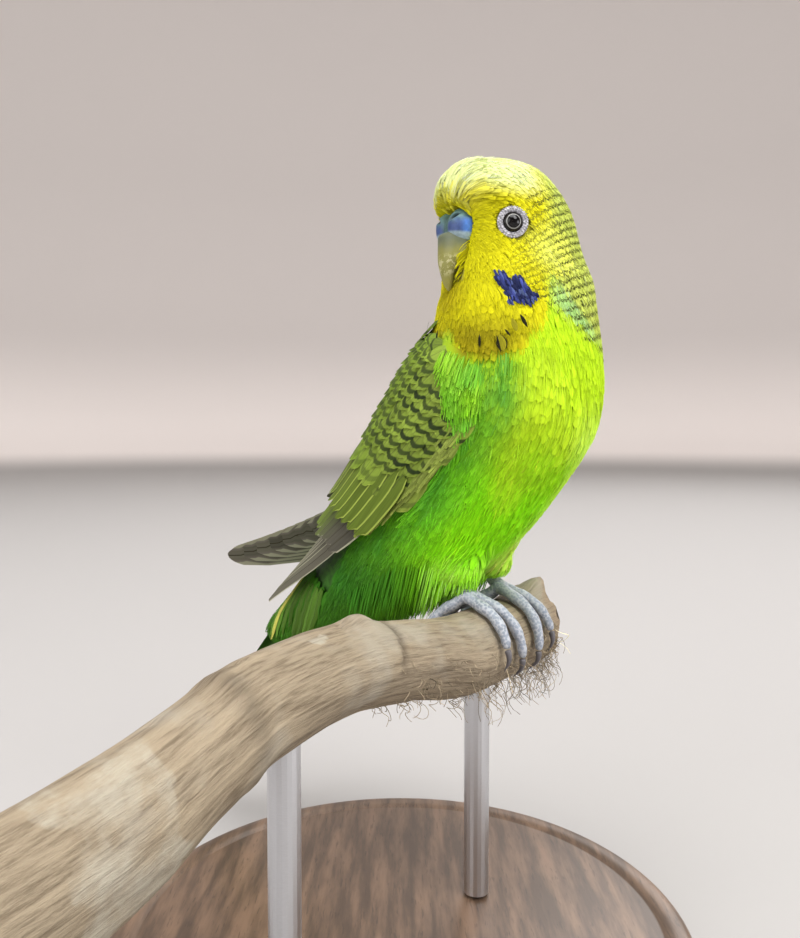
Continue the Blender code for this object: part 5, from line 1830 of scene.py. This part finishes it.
class BUDGERIGAR_OT_bill(bpy.types.Operator):
    """Cere with its nostrils, and the two halves of the bill"""

    bl_idname = "budgerigar.bill"
    bl_label = "Cere and bill"

    def execute(self, context):
        given = settings("face")
        lobes = [ball((15.0, side * 2.45, -1.2), (3.7, 3.0, 4.2)) for side in (LEFT, RIGHT)]
        lobes.append(ball((14.7, 0, -1.3), (3.4, 3.9, 3.6)))
        cere = remeshed(joined(lobes, "cere_lobes"), 0.22, 6)
        local = points_of(cere)
        for side in (LEFT, RIGHT):
            out, up = local[:, 1] * side - 3.1, local[:, 2] - 0.75
            across, along = up * 0.85 - out * 0.5, out * 0.85 + up * 0.5
            hole = np.exp(-((across / 0.4) ** 2) - (along / 0.95) ** 2) * (local[:, 0] > 15)
            rim = np.exp(-((across / 0.9) ** 2) - (along / 1.5) ** 2) * (local[:, 0] > 15)
            local[:, 0] += 0.3 * rim - 1.5 * hole
        put_points(cere, local)
        from_head(cere)
        write_colour(cere.data, "Tint", self.cere_tint(local, given))
        cere.data.materials.append(self.cere_finish())
        settle_piece(cere, "cere", "cere")
        rows = ((14.9, -2.0, 4.6, 4.4), (15.07, -3.6, 4.6, 4.4), (15.3, -5.4, 4.4, 4.15), (15.75, -7.1, 4.1, 3.8),
                (16.6, -8.7, 3.3, 3.0), (17.35, -10.1, 2.35, 2.15), (17.6, -11.5, 1.75, 1.6),
                (17.5, -12.95, 1.4, 1.3), (17.3, -14.4, 0.8, 0.75), (17.1, -15.3, 0.25, 0.25))
        upper = self.half("bill_upper_horn", rows, given)
        settle_piece(upper, "bill", "bill_upper")
        rows = ((12.2, -6.2, 2.5, 1.7), (12.5, -8.2, 2.8, 1.6), (12.8, -9.6, 2.7, 1.5), (13.0, -11.0, 2.2, 1.1), (13.1, -11.9, 1.4, 0.5))
        lower = self.half("bill_lower_horn", rows, given)
        settle_piece(lower, "bill", "bill_lower")
        return {"FINISHED"}

    def cere_tint(self, local, given):
        """Colour of the cere, from its groove and nostrils, darkened as painted shade, to its bright edge and pale rim.
        """
        ahead, out, up = local[:, 0], np.abs(local[:, 1]), local[:, 2]
        tone = np.tile(np.array(given.cere_blue), (len(local), 1))
        tone = mixed(tone, given.cere_teal, rise(-1.2, 1.2, up + 1.5 * (cloud(local, 1.2, 21) - 0.5)))
        tone = mixed(tone, given.cere_edge, rise(3.0, 4.8, out) * rise(17.6, 16.0, ahead) * rise(1.0, -0.5, up))
        # painted shade: the groove between the cere's lobes is darkened
        tone = mixed(tone, np.array(given.cere_teal) * 0.6, rise(1.5, 0.4, out))
        tone = mixed(tone, np.array(given.cere_blue) * (0.8, 0.7, 0.45), rise(15.2, 13.6, ahead) * 0.8)
        tone = mixed(tone, given.cere_rim, rise(-1.8, -2.5, up + 0.12 * out) * 0.85)
        # painted shade: the nostril openings are painted near black
        across = (up - 0.75) * 0.85 - (out - 3.1) * 0.5
        along = (out - 3.1) * 0.85 + (up - 0.75) * 0.5
        slit = np.exp(-((across / 0.34) ** 2) - (along / 0.95) ** 2) * (ahead > 15)
        tone = mixed(tone, (0.006, 0.007, 0.01), np.clip(slit * 1.7, 0, 1))
        return np.clip(tone * (0.85 + 0.3 * cloud(local, 0.5, 22))[:, None], 0, 1)

    def half(self, name, rows, given):
        ahead, up, wide, deep = rows[0]
        steps = []
        for before, after in zip(rows, rows[1:]):
            steps.append(((after[0] - before[0], 0, after[1] - before[1]),
                          (after[3] / before[3], after[2] / before[2], 1.0), 0.0))
        clear_selection()
        made = extruded(name, 20, 1.0, (ahead, 0, up), "Z", steps)
        local = points_of(made)
        put_points(made, np.stack((self.squeeze(local, rows, 0), self.squeeze(local, rows, 1), local[:, 2]), 1))
        subdivided(made, 2)
        local = from_head(made)
        tone = np.tile(np.array(given.horn), (len(local), 1))
        tone = mixed(tone, given.horn_top, rise(-6.8, -3.5, local[:, 2] + cloud(local, 1.5, 31)))
        tone = mixed(tone, np.array(given.horn) * (1.25, 1.2, 1.0), rise(-11.0, -14.0, local[:, 2]))
        flaky = rise(-7.0, -8.5, local[:, 2]) * rise(-12.6, -11.0, local[:, 2])
        write_colour(made.data, "Tint", np.column_stack((tone, flaky)))
        made.data.materials.append(self.horn_finish(name, given))
        return made

    def squeeze(self, local, rows, axis):
        """Scales the first ring's unit circle to its own width and depth."""
        centre = np.interp(-local[:, 2], [-r[1] for r in rows], [r[0] for r in rows])
        if axis == 0:
            return centre + (local[:, 0] - centre) * rows[0][3]
        return local[:, 1] * rows[0][2]

    def cere_finish(self):
        f = Finish("Cere", 0.5)
        fine = f.spots(f.body(), 2200.0, 3.0)
        tint = f.sum("MULTIPLY_ADD", fine, 0.5, 0.75)
        f.paint(f.mix(1.0, f.attribute("Tint").outputs["Color"], f.place(tint, tint, tint), "MULTIPLY"))
        f.bump(fine, 0.0001, 0.7)
        f.set(Subsurface_Weight=0.08, Subsurface_Radius=(0.0006, 0.0005, 0.0008))
        return f.material

    def horn_finish(self, name, given):
        f = Finish(name.replace("_", " "), 0.45)
        where = f.body()
        noise = f.spots(where, 420.0, 4.0, 0.6)
        flakes = f.spots(where, 900.0, 3.0, 0.7)
        tone = f.attribute("Tint").outputs
        base = f.mix(f.step(0.3, 0.7, noise), f.mix(1.0, tone["Color"], (0.88, 0.88, 0.88), "MULTIPLY"), tone["Color"])
        flaked = f.sum("MULTIPLY", f.step(0.5, 0.56, flakes), tone["Alpha"])
        f.paint(f.mix(flaked, base, given.horn_pale))
        f.bump(f.sum("MULTIPLY_ADD", flaked, 0.5, noise), 0.00012, 0.7)
        return f.material


def perch_middle(y):
    line = np.array(((-20, -9.3, 9.3), (12, -9.3, 9.3), (37, -5.4, 8.5), (58, -3.2, 8.6), (79, -4.8, 9.0),
                     (92, -9.2, 9.4), (107, -14.6, 10.6), (140, -21.5, 11.6)), float)
    at = -np.asarray(y, float)
    height, radius = smooth_track(line[:, 0], line[:, 1], at), smooth_track(line[:, 0], line[:, 2], at)
    return height, radius


def smooth_track(positions, values, at):
    """A monotone cubic through the given values, the same curve as the branch was drawn with."""
    x, y = np.asarray(positions, float), np.asarray(values, float)
    step = np.diff(x)
    slope = np.diff(y) / step
    tangent = np.zeros_like(y)
    tangent[0], tangent[-1] = slope[0], slope[-1]
    for i in range(1, len(y) - 1):
        if slope[i - 1] * slope[i] > 0:
            before, after = 2 * step[i] + step[i - 1], step[i] + 2 * step[i - 1]
            tangent[i] = (before + after) / (before / slope[i - 1] + after / slope[i])
    at = np.clip(np.asarray(at, float), x[0], x[-1])
    i = np.clip(np.searchsorted(x, at) - 1, 0, len(step) - 1)
    t = (at - x[i]) / step[i]
    return (
        (2 * t**3 - 3 * t**2 + 1) * y[i]
        + (t**3 - 2 * t**2 + t) * step[i] * tangent[i]
        + (3 * t**2 - 2 * t**3) * y[i + 1]
        + (t**3 - t**2) * step[i] * tangent[i + 1]
    )


def from_bird(thing):
    local = points_of(thing)
    put_points(thing, to_model(local))
    return local


TOES = ((16.0, 78.0, 1.7, 3.6), (16.0, 96.0, -1.7, -3.4), (-16.0, -80.0, 1.7, 4.2), (-16.0, -66.0, -1.7, -3.8))
PALM = 27.0


class BUDGERIGAR_OT_feet(bpy.types.Operator):
    """Scaly shanks and toes gripping the branch, with their claws"""

    bl_idname = "budgerigar.feet"
    bl_label = "Feet"

    def execute(self, context):
        given = settings("stand")
        scales = self.scale_finish(given)
        horn = self.claw_finish(given)
        for side, word in ((LEFT, "left"), (RIGHT, "right")):
            y = side * 7.5
            path = [(-6.2, y, 8.0), (-5.4, y, 6.8), (-4.4, y, 5.6), (-3.2, y, 4.5), (-1.9, y, 3.4),
                    (-0.6, y, 2.6), (0.7, y, 2.1)]
            radii = [1.3, 1.55, 1.55, 1.65, 1.8, 2.0, 1.3]
            shank = subdivided(follow_path(f"shank_{word}_scales", path, radii, 14))
            shank.data.materials.append(scales)
            settle_piece(shank, "foot_skin", f"shank_{word}")
            for number, (start, end, spread, out) in enumerate(TOES, 1):
                toe = self.toe(word, number, y, side, start, end, spread, out)
                toe.data.materials.append(scales)
                settle_piece(toe, "foot_skin", f"toe_{word}_{number}")
                claw = self.claw(word, number, y + side * out, start, end)
                claw.data.materials.append(horn)
                settle_piece(claw, "claw", f"claw_{word}_{number}")
        return {"FINISHED"}

    def toe(self, word, number, y, side, start, end, spread, out):
        reach, count = 11.15, 40
        t = np.linspace(0, 1, count)
        first = start - PALM * math.copysign(1.0, end - start) * (1.0 if start > 0 else 0.45)
        angle = np.radians(first + (end - first) * t)
        place = y + side * (0.45 * spread + (out - 0.45 * spread) * t**0.8)
        height, _ = perch_middle(place)
        arch = reach + 1.3 * rise(0.3, 0.0, t)
        path = np.stack((arch * np.sin(angle), place, height + arch * np.cos(angle)), 1)
        joints = 0.10 * np.cos(6 * math.pi * t)
        scute = 0.07 * np.abs(np.sin(math.pi * t * 10.5))
        radii = 1.5 * (1 - 0.24 * t) + joints + scute
        radii *= 1 - 0.32 * rise(0.88, 1.0, t)
        radii[0], radii[-1] = 0.9, 0.55
        made = follow_path(f"toe_{word}_{number}_scales", path, radii, 14)
        subdivided(made, 1)
        return made

    def claw(self, word, number, y, start, end):
        sign = 1 if end > start else -1
        t = np.linspace(0, 1, 9)
        angle = np.radians(end + sign * (0.5 + 28.0 * t))
        lift = 0.5 * np.sin(math.pi * np.minimum(t * 1.2, 1.0)) - 0.5 * t
        height, _ = perch_middle(np.full(9, y))
        reach = 11.15 + lift
        path = np.stack((reach * np.sin(angle), np.full(9, y), height + reach * np.cos(angle)), 1)
        made = follow_path(f"claw_{word}_{number}_horn", path, 0.9 - 0.84 * t**1.1, 10)
        subdivided(made, 1)
        return made

    def scale_finish(self, given):
        f = Finish("Foot scales", 0.5)
        where = f.body()
        cells = f.cells(where, 1500.0)
        noise = f.spots(where, 260.0)
        tone = f.mix(f.step(0.3, 0.7, noise), Vector(given.scale) * 0.85, Vector(given.scale) * 1.15)
        f.paint(f.mix(f.sum("MULTIPLY", f.step(0.42, 0.7, cells), 0.85), tone, given.scale_pale))
        f.bump(cells, 0.00015, -0.8)
        return f.material

    def claw_finish(self, given):
        f = Finish("Claws", 0.3)
        noise = f.spots(f.body(), 600.0)
        f.paint(f.mix(noise, given.claw, Vector(given.claw) * 2.2))
        return f.material


def follow_path(name, path, radii, sides):
    """A closed tube along any path: a cylinder's rings, extruded and laid square to the path."""
    path = np.asarray(path, float)
    steps = [((0, 0, 1.0), (1, 1, 1), 0.0)] * (len(path) - 1)
    made = extruded(name, sides, 1.0, (0, 0, 0), "Z", steps)
    local = points_of(made)
    ring = np.rint(local[:, 2]).astype(int)
    ahead = unit(np.gradient(path, axis=0))
    guide = np.array((0.0, 1.0, 0.0))
    first = unit(np.cross(ahead, guide))
    second = np.cross(ahead, first)
    radii = np.asarray(radii)
    at = path[ring] + first[ring] * (local[:, :1] * radii[ring][:, None])
    at = at - second[ring] * (local[:, 1:2] * radii[ring][:, None])
    put_points(made, to_model(at))
    return made


class BUDGERIGAR_OT_branch(bpy.types.Operator):
    """Cut length of weathered branch with a broken end, ridges and cracks"""

    bl_idname = "budgerigar.branch"
    bl_label = "Branch"

    def execute(self, context):
        given = settings("stand")
        places = np.linspace(18.0, -140.0, 176)
        height, radius = perch_middle(places)
        steps = []
        for i in range(1, len(places)):
            scale = radius[i] / radius[i - 1]
            steps.append(((0, places[i] - places[i - 1], height[i] - height[i - 1]), (scale, 1.0, scale), 0.0))
        made = extruded("branch_bark", 64, radius[0], (0, places[0], height[0]), "Y", steps)
        local = points_of(made)
        y = local[:, 1].copy()
        height, radius = perch_middle(y)
        up, out = local[:, 2] - height, local[:, 0]
        angle = np.arctan2(out, up)
        away = rise(16.0, 26.0, -y)
        ridge = 0.3 * np.sin(3 * angle + 0.05 * y) * away
        reach = np.stack((np.cos(angle) * 9, np.sin(angle) * 9, y * 0.16), 1)
        grain = (cloud(reach, 1.1, 11) - 0.5) * 0.55 + (cloud(reach, 2.6, 12) - 0.5) * 0.8
        crack = np.abs(cloud(reach * (1, 1, 0.6), 2.2, 13) - 0.5)
        grain = grain - 0.7 * rise(0.05, 0.0, crack)
        grip = rise(12.0, 17.0, -y)
        size = np.hypot(up, out) + ridge + grain * (0.25 + 0.75 * grip) * 0.6
        knot = np.exp(-(((y + 51) / 3.4) ** 2) - (angle / 0.4) ** 2)
        node = np.exp(-(((y + 86) / 2.0) ** 2))
        split = np.exp(-(((y + 43 + 3.0 * angle) / 0.9) ** 2)) * rise(1.5, 0.9, np.abs(angle - 0.3))
        shred = cloud(np.stack((angle * 4.0, y * 0.12, 0 * y), 1), 1.0, 16)
        torn = rise(7.0, 17.0, y) * np.exp(-((angle / 0.75) ** 2)) * (0.45 + 1.1 * shred)
        size = size + 1.7 * knot + 0.45 * node - 0.5 * split + 3.2 * torn
        jag = (cloud(np.stack((np.sin(angle) * 5.0, np.cos(angle) * 5.0, 0 * y), 1), 1.1, 14) - 0.45) * 6.0
        local[:, 0], local[:, 2] = size * np.sin(angle), height + size * np.cos(angle)
        slant = 0.35 * size * np.cos(angle) * rise(4.0, 18.0, y)
        local[:, 1] = y + slant + jag * rise(9.0, 18.0, y) * 1.3
        put_points(made, local)
        from_bird(made)
        reach = np.stack((np.sin(angle) * 9, y, np.cos(angle) * 9), 1)
        made.data.shade_smooth()
        made.data.set_sharp_from_angle(angle=math.radians(50))
        write_colour(made.data, "Grain", reach)
        edge = cloud(reach, 3.0, 15) * 1.6 - 0.8
        band = rise(11.0, 8.0, np.abs(y + 111) + 3 * edge) * rise(1.9, 1.4, np.abs(angle - 0.7) + 0.5 * edge)
        spot = rise(1.0, 0.6, np.hypot((y + 65) / 3.4, (angle - 0.25) / 0.2) + 1.1 * edge)
        broken = rise(14.5, 17.0, y + 2 * edge)
        write_colour(made.data, "Weather", np.stack((np.maximum(band * 0.55, spot * 0.9), np.maximum(split, 0.5 * node), broken), 1))
        made.data.materials.append(self.bark_finish(given))
        self.fibres(given)
        settle_piece(made, "branch", "perch")
        return {"FINISHED"}

    def fibres(self, given):
        """Loose bark fibres that hang under the broken end."""
        chance = np.random.default_rng(81)
        count = 300
        y = 17.0 - 66.0 * chance.random(count) ** 2.2
        height, radius = perch_middle(y)
        angle = np.radians(chance.uniform(75, 205, count))
        t = np.linspace(0, 1, 13)
        size = chance.uniform(1.0, 3.4, count) ** 2 * (0.45 + 0.55 * rise(-30.0, 0.0, y))
        path = np.empty((count, 13, 3))
        phase = chance.uniform(0, 6.3, (2, count, 1))
        bend = chance.uniform(0.5, 2.2, (2, count, 1)) * np.minimum(size, 6.0)[:, None] / 6.0
        turn = 8.0 * t * chance.uniform(0.4, 1.3, (count, 1))
        path[..., 0] = (radius * np.sin(angle))[:, None] + bend[0] * (np.sin(turn + phase[0]) - np.sin(phase[0])) + 0.8 * t
        path[..., 1] = y[:, None] + bend[1] * (np.sin(turn + phase[1]) - np.sin(phase[1]))
        path[..., 2] = (height + radius * np.cos(angle))[:, None] - size[:, None] * t + 0.5
        path[..., 2] += bend[0] * 0.6 * np.sin(turn * 1.4 + phase[1]) * t
        tone = np.array(given.bark) * np.exp(chance.normal(-0.1, 0.4, (count, 1)))
        bunch = {
            "path": path, "up": np.broadcast_to((1.0, 0.3, 0.2), path.shape).copy(),
            "half": chance.uniform(0.07, 0.16, count), "colour": np.clip(tone, 0, 1),
            "marks": np.tile((0.0, 0.0, 0.5, 1.0), (count, 1)), "bake": np.full((count, 2), 0.5), "seed": 82,
        }
        finish = feather_finish("Bark fibres", given.bark_dark, roughness=0.8)
        made = feathers("branch_fibres", bunch, finish, 3, np.linspace(1.0, 0.3, 13), 0, 0, 0.1, 0.0)
        settle_piece(made, "branch")

    def bark_finish(self, given):
        f = Finish("Bark", 0.85)
        grain = f.attribute("Grain").outputs
        stretch = f.node("ShaderNodeMapping")
        stretch.inputs["Scale"].default_value = (1.0, 0.09, 1.0)
        f.feed(stretch.inputs["Vector"], grain["Vector"])
        fibre = f.spots(stretch.outputs[0], 1.5, 5.0, 0.65)
        streak = f.spots(stretch.outputs[0], 0.35, 3.0)
        broad = f.spots(grain["Vector"], 0.07, 3.0)
        patch = f.spots(grain["Vector"], 0.11, 4.0, 0.6)
        bark = Vector(given.bark)
        tone = f.mix(f.step(0.3, 0.62, fibre), given.bark_dark, bark)
        tone = f.mix(f.sum("MULTIPLY", f.step(0.45, 0.65, streak), 0.6), tone, bark * 1.3)
        tone = f.mix(f.sum("MULTIPLY", f.step(0.5, 0.7, broad), 0.55), tone, given.wood_grey)
        weather = f.node("ShaderNodeSeparateColor")
        f.feed(weather.inputs[0], f.attribute("Weather").outputs["Color"])
        ragged = f.sum("MULTIPLY_ADD", f.sum("SUBTRACT", patch, 0.5), 1.2, weather.outputs[0])
        pale = f.sum("MULTIPLY", f.step(0.4, 0.75, ragged), f.sum("MULTIPLY_ADD", fibre, 0.9, 0.1))
        tone = f.mix(pale, tone, (0.44, 0.41, 0.33))
        tone = f.mix(f.sum("MULTIPLY", weather.outputs[1], 0.75), tone, Vector(given.bark_dark) * 0.5)
        tone = f.mix(f.sum("MULTIPLY", weather.outputs[2], 0.75), tone, f.mix(fibre, (0.13, 0.085, 0.05), (0.40, 0.29, 0.18)))
        lengthways = f.node("ShaderNodeSeparateXYZ")
        f.feed(lengthways.inputs[0], grain["Vector"])
        cut_end = f.step(-139.4, -139.8, lengthways.outputs[1])
        away = f.node("ShaderNodeVectorMath", operation="LENGTH")
        flat = f.place(lengthways.outputs[0], 0.0, lengthways.outputs[2])
        f.feed(away.inputs[0], flat)
        rings = f.sum("PINGPONG", away.outputs["Value"], 0.5)
        heart = f.mix(f.step(0.1, 0.45, rings), (0.32, 0.22, 0.12), (0.48, 0.38, 0.25))
        tone = f.mix(cut_end, tone, heart)
        f.paint(tone)
        f.bump(fibre, 0.0007, 0.9)
        return f.material


class BUDGERIGAR_OT_stand(bpy.types.Operator):
    """Turned wooden base, and the two steel rods that hold the branch"""

    bl_idname = "budgerigar.stand"
    bl_label = "Stand"

    def execute(self, context):
        given = settings("stand")
        low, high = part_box("stand_base")
        centre = (low + high) / 2
        radius = (high.x - low.x) / 2
        clear_selection()
        bpy.ops.mesh.primitive_cylinder_add(vertices=128, radius=radius, depth=high.z - low.z,
                                            location=centre)
        base = bpy.context.object
        base.name = "stand_base_wood"
        bpy.ops.object.transform_apply(location=True, rotation=True, scale=True)
        bpy.ops.object.mode_set(mode="EDIT")
        bpy.ops.mesh.select_mode(type="FACE")
        bpy.ops.mesh.select_all(action="DESELECT")
        bpy.ops.object.mode_set(mode="OBJECT")
        for face in base.data.polygons:
            face.select = abs(face.normal.z) > 0.9 and face.center.z > centre.z
        bpy.ops.object.mode_set(mode="EDIT")
        bpy.ops.mesh.inset(thickness=0.0055)
        bpy.ops.mesh.inset(thickness=0.0006)
        bpy.ops.transform.translate(value=(0, 0, -0.0005))
        bpy.ops.mesh.inset(thickness=0.0006)
        bpy.ops.mesh.select_all(action="SELECT")
        bpy.ops.object.mode_set(mode="OBJECT")
        edge = base.modifiers.new("edge", "BEVEL")
        edge.width = 0.0016
        edge.segments = 4
        edge.limit_method = "ANGLE"
        edge.angle_limit = math.radians(50)
        apply_all(base)
        base.data.shade_smooth()
        bpy.ops.object.shade_smooth_by_angle(angle=math.radians(40))
        base.data.materials.append(self.wood_finish(given))
        settle_piece(base, "stand_base", "stand_base")
        steel = self.steel_finish(given)
        for number in (1, 2):
            mesh = frame["nodes"][f"stand_rod_{number}"].data
            for slot in range(len(mesh.materials)):
                mesh.materials[slot] = steel
        return {"FINISHED"}

    def wood_finish(self, given):
        f = Finish("Turned walnut", 0.38)
        where = f.body()
        stretch = f.node("ShaderNodeMapping")
        stretch.inputs["Scale"].default_value = (1.0, 0.12, 1.0)
        f.feed(stretch.inputs["Vector"], where)
        grain = f.spots(stretch.outputs[0], 260.0, 5.0, 0.6)
        pores = f.spots(stretch.outputs[0], 1800.0, 2.0)
        wood = Vector(given.walnut)
        tone = f.mix(f.step(0.35, 0.7, grain), wood * 0.55, wood * 1.5)
        f.paint(f.mix(f.sum("MULTIPLY", f.step(0.6, 0.7, pores), 0.5), tone, wood * 0.3))
        f.set(Coat_Weight=0.25, Coat_Roughness=0.25)
        f.bump(pores, 0.00005, 0.4)
        return f.material

    def steel_finish(self, given):
        f = Finish("Brushed steel", 0.32, 1.0)
        where = f.body()
        stretch = f.node("ShaderNodeMapping")
        stretch.inputs["Scale"].default_value = (1.0, 1.0, 30.0)
        f.feed(stretch.inputs["Vector"], where)
        lines = f.spots(stretch.outputs[0], 900.0, 2.0)
        steel = Vector(given.steel)
        f.paint(f.mix(lines, steel * 0.85, steel * 1.08))
        f.bump(lines, 0.00003, 0.5)
        return f.material


class BUDGERIGAR_OT_stage(bpy.types.Operator):
    """Camera, pale floor and soft studio light"""

    bl_idname = "budgerigar.stage"
    bl_label = "Studio"

    def execute(self, context):
        given = settings("stand")
        camera = bpy.data.cameras.new("camera")
        camera.lens = 32.6
        camera.sensor_width = 36.0
        camera.clip_start = 0.01
        holder = bpy.data.objects.new("camera", camera)
        holder.location = Vector(FEET) + Vector((-0.0219, -0.205, 0.0427))
        holder.rotation_euler = (math.radians(87.3), 0, 0)
        context.scene.collection.objects.link(holder)
        context.scene.camera = holder
        clear_selection()
        bpy.ops.mesh.primitive_circle_add(vertices=96, radius=2.4, fill_type="NGON", location=(0, 0, 0))
        floor = bpy.context.object
        floor.name = "floor"
        bpy.ops.object.mode_set(mode="EDIT")
        bpy.ops.mesh.select_all(action="SELECT")
        for move, scale in ((0.05, 1.16), (0.14, 1.10), (0.3, 1.06), (0.6, 1.02), (0.8, 0.9), (0.5, 0.7)):
            bpy.ops.mesh.extrude_region_move(TRANSFORM_OT_translate={"value": (0, 0, move)})
            bpy.ops.transform.resize(value=(scale, scale, 1.0))
        bpy.ops.mesh.select_all(action="SELECT")
        bpy.ops.mesh.normals_make_consistent(inside=True)
        bpy.ops.object.mode_set(mode="OBJECT")
        floor.data.shade_smooth()
        f = Finish("Studio floor", 0.9)
        height = f.node("ShaderNodeSeparateXYZ")
        f.feed(height.inputs[0], f.body())
        wall = Vector(given.wall)
        behind = f.mix(f.step(0.06, 0.5, height.outputs[2]), wall * 1.4, wall)
        f.paint(f.mix(f.step(0.0, 0.05, height.outputs[2]), given.floor, behind))
        floor.data.materials.append(f.material)
        bird = Vector(FEET) + Vector((0, 0, 0.05))
        for name, place, size, power in (
            ("key", (0.8, -1.0, 1.35), 1.0, 19.5),
            ("fill", (-1.4, -1.1, 0.6), 1.6, 16.5),
            ("rim", (0.6, 1.25, 1.1), 1.0, 10.0),
            ("top", (0.1, -0.5, 1.9), 2.2, 18.0),
            ("side", (1.3, -0.55, 0.05), 0.8, 8.5),
            ("wall", (0.0, -0.3, 2.1), 2.0, 45.0),
        ):
            lamp = bpy.data.lights.new(name, "AREA")
            lamp.shape = "DISK"
            lamp.size = size
            lamp.energy = power
            holder = bpy.data.objects.new(name, lamp)
            holder.location = bird + Vector(place)
            aim = Vector((0.0, 2.4, 0.3)) if name == "wall" else Vector((0.0, 0.0, 0.0))
            holder.rotation_euler = (aim - Vector(place)).to_track_quat("-Z", "Y").to_euler()
            context.scene.collection.objects.link(holder)
        world = bpy.data.worlds.new("studio")
        world.use_nodes = True
        world.node_tree.nodes["Background"].inputs["Color"].default_value = (1, 1, 1, 1)
        world.node_tree.nodes["Background"].inputs["Strength"].default_value = 0.8
        context.scene.world = world
        context.scene.view_settings.view_transform = "Standard"
        return {"FINISHED"}


class BUDGERIGAR_PT_panel(bpy.types.Panel):
    """Steps that build the budgerigar"""

    bl_label = "Budgerigar"
    bl_space_type = "VIEW_3D"
    bl_region_type = "UI"
    bl_category = "Budgerigar"

    def draw(self, context):
        for step in STEPS:
            self.layout.operator(step.bl_idname)


STEPS = (
    BUDGERIGAR_OT_stage,
    BUDGERIGAR_OT_skin,
    BUDGERIGAR_OT_coat,
    BUDGERIGAR_OT_marks,
    BUDGERIGAR_OT_down,
    BUDGERIGAR_OT_wings,
    BUDGERIGAR_OT_tail,
    BUDGERIGAR_OT_eyes,
    BUDGERIGAR_OT_bill,
    BUDGERIGAR_OT_feet,
    BUDGERIGAR_OT_branch,
    BUDGERIGAR_OT_stand,
)
GROUPS = {
    "plumage": PlumageSettings,
    "wings": WingSettings,
    "face": FaceSettings,
    "stand": StandSettings,
}


def register():
    for group in GROUPS.values():
        bpy.utils.register_class(group)
    for name, group in GROUPS.items():
        setattr(bpy.types.Scene, "budgerigar_" + name, bpy.props.PointerProperty(type=group))
    for step in (*STEPS, BUDGERIGAR_PT_panel):
        bpy.utils.register_class(step)


def unregister():
    for step in (BUDGERIGAR_PT_panel, *reversed(STEPS)):
        bpy.utils.unregister_class(step)
    for name in GROUPS:
        delattr(bpy.types.Scene, "budgerigar_" + name)
    for group in reversed(GROUPS.values()):
        bpy.utils.unregister_class(group)


def main():
    register()
    bpy.ops.budgerigar.stage()
    bpy.ops.budgerigar.skin()
    bpy.ops.budgerigar.coat()
    bpy.ops.budgerigar.marks()
    bpy.ops.budgerigar.down()
    bpy.ops.budgerigar.wings()
    bpy.ops.budgerigar.tail()
    bpy.ops.budgerigar.eyes()
    bpy.ops.budgerigar.bill()
    bpy.ops.budgerigar.feet()
    bpy.ops.budgerigar.branch()
    bpy.ops.budgerigar.stand()


if __name__ == "__main__":
    main()
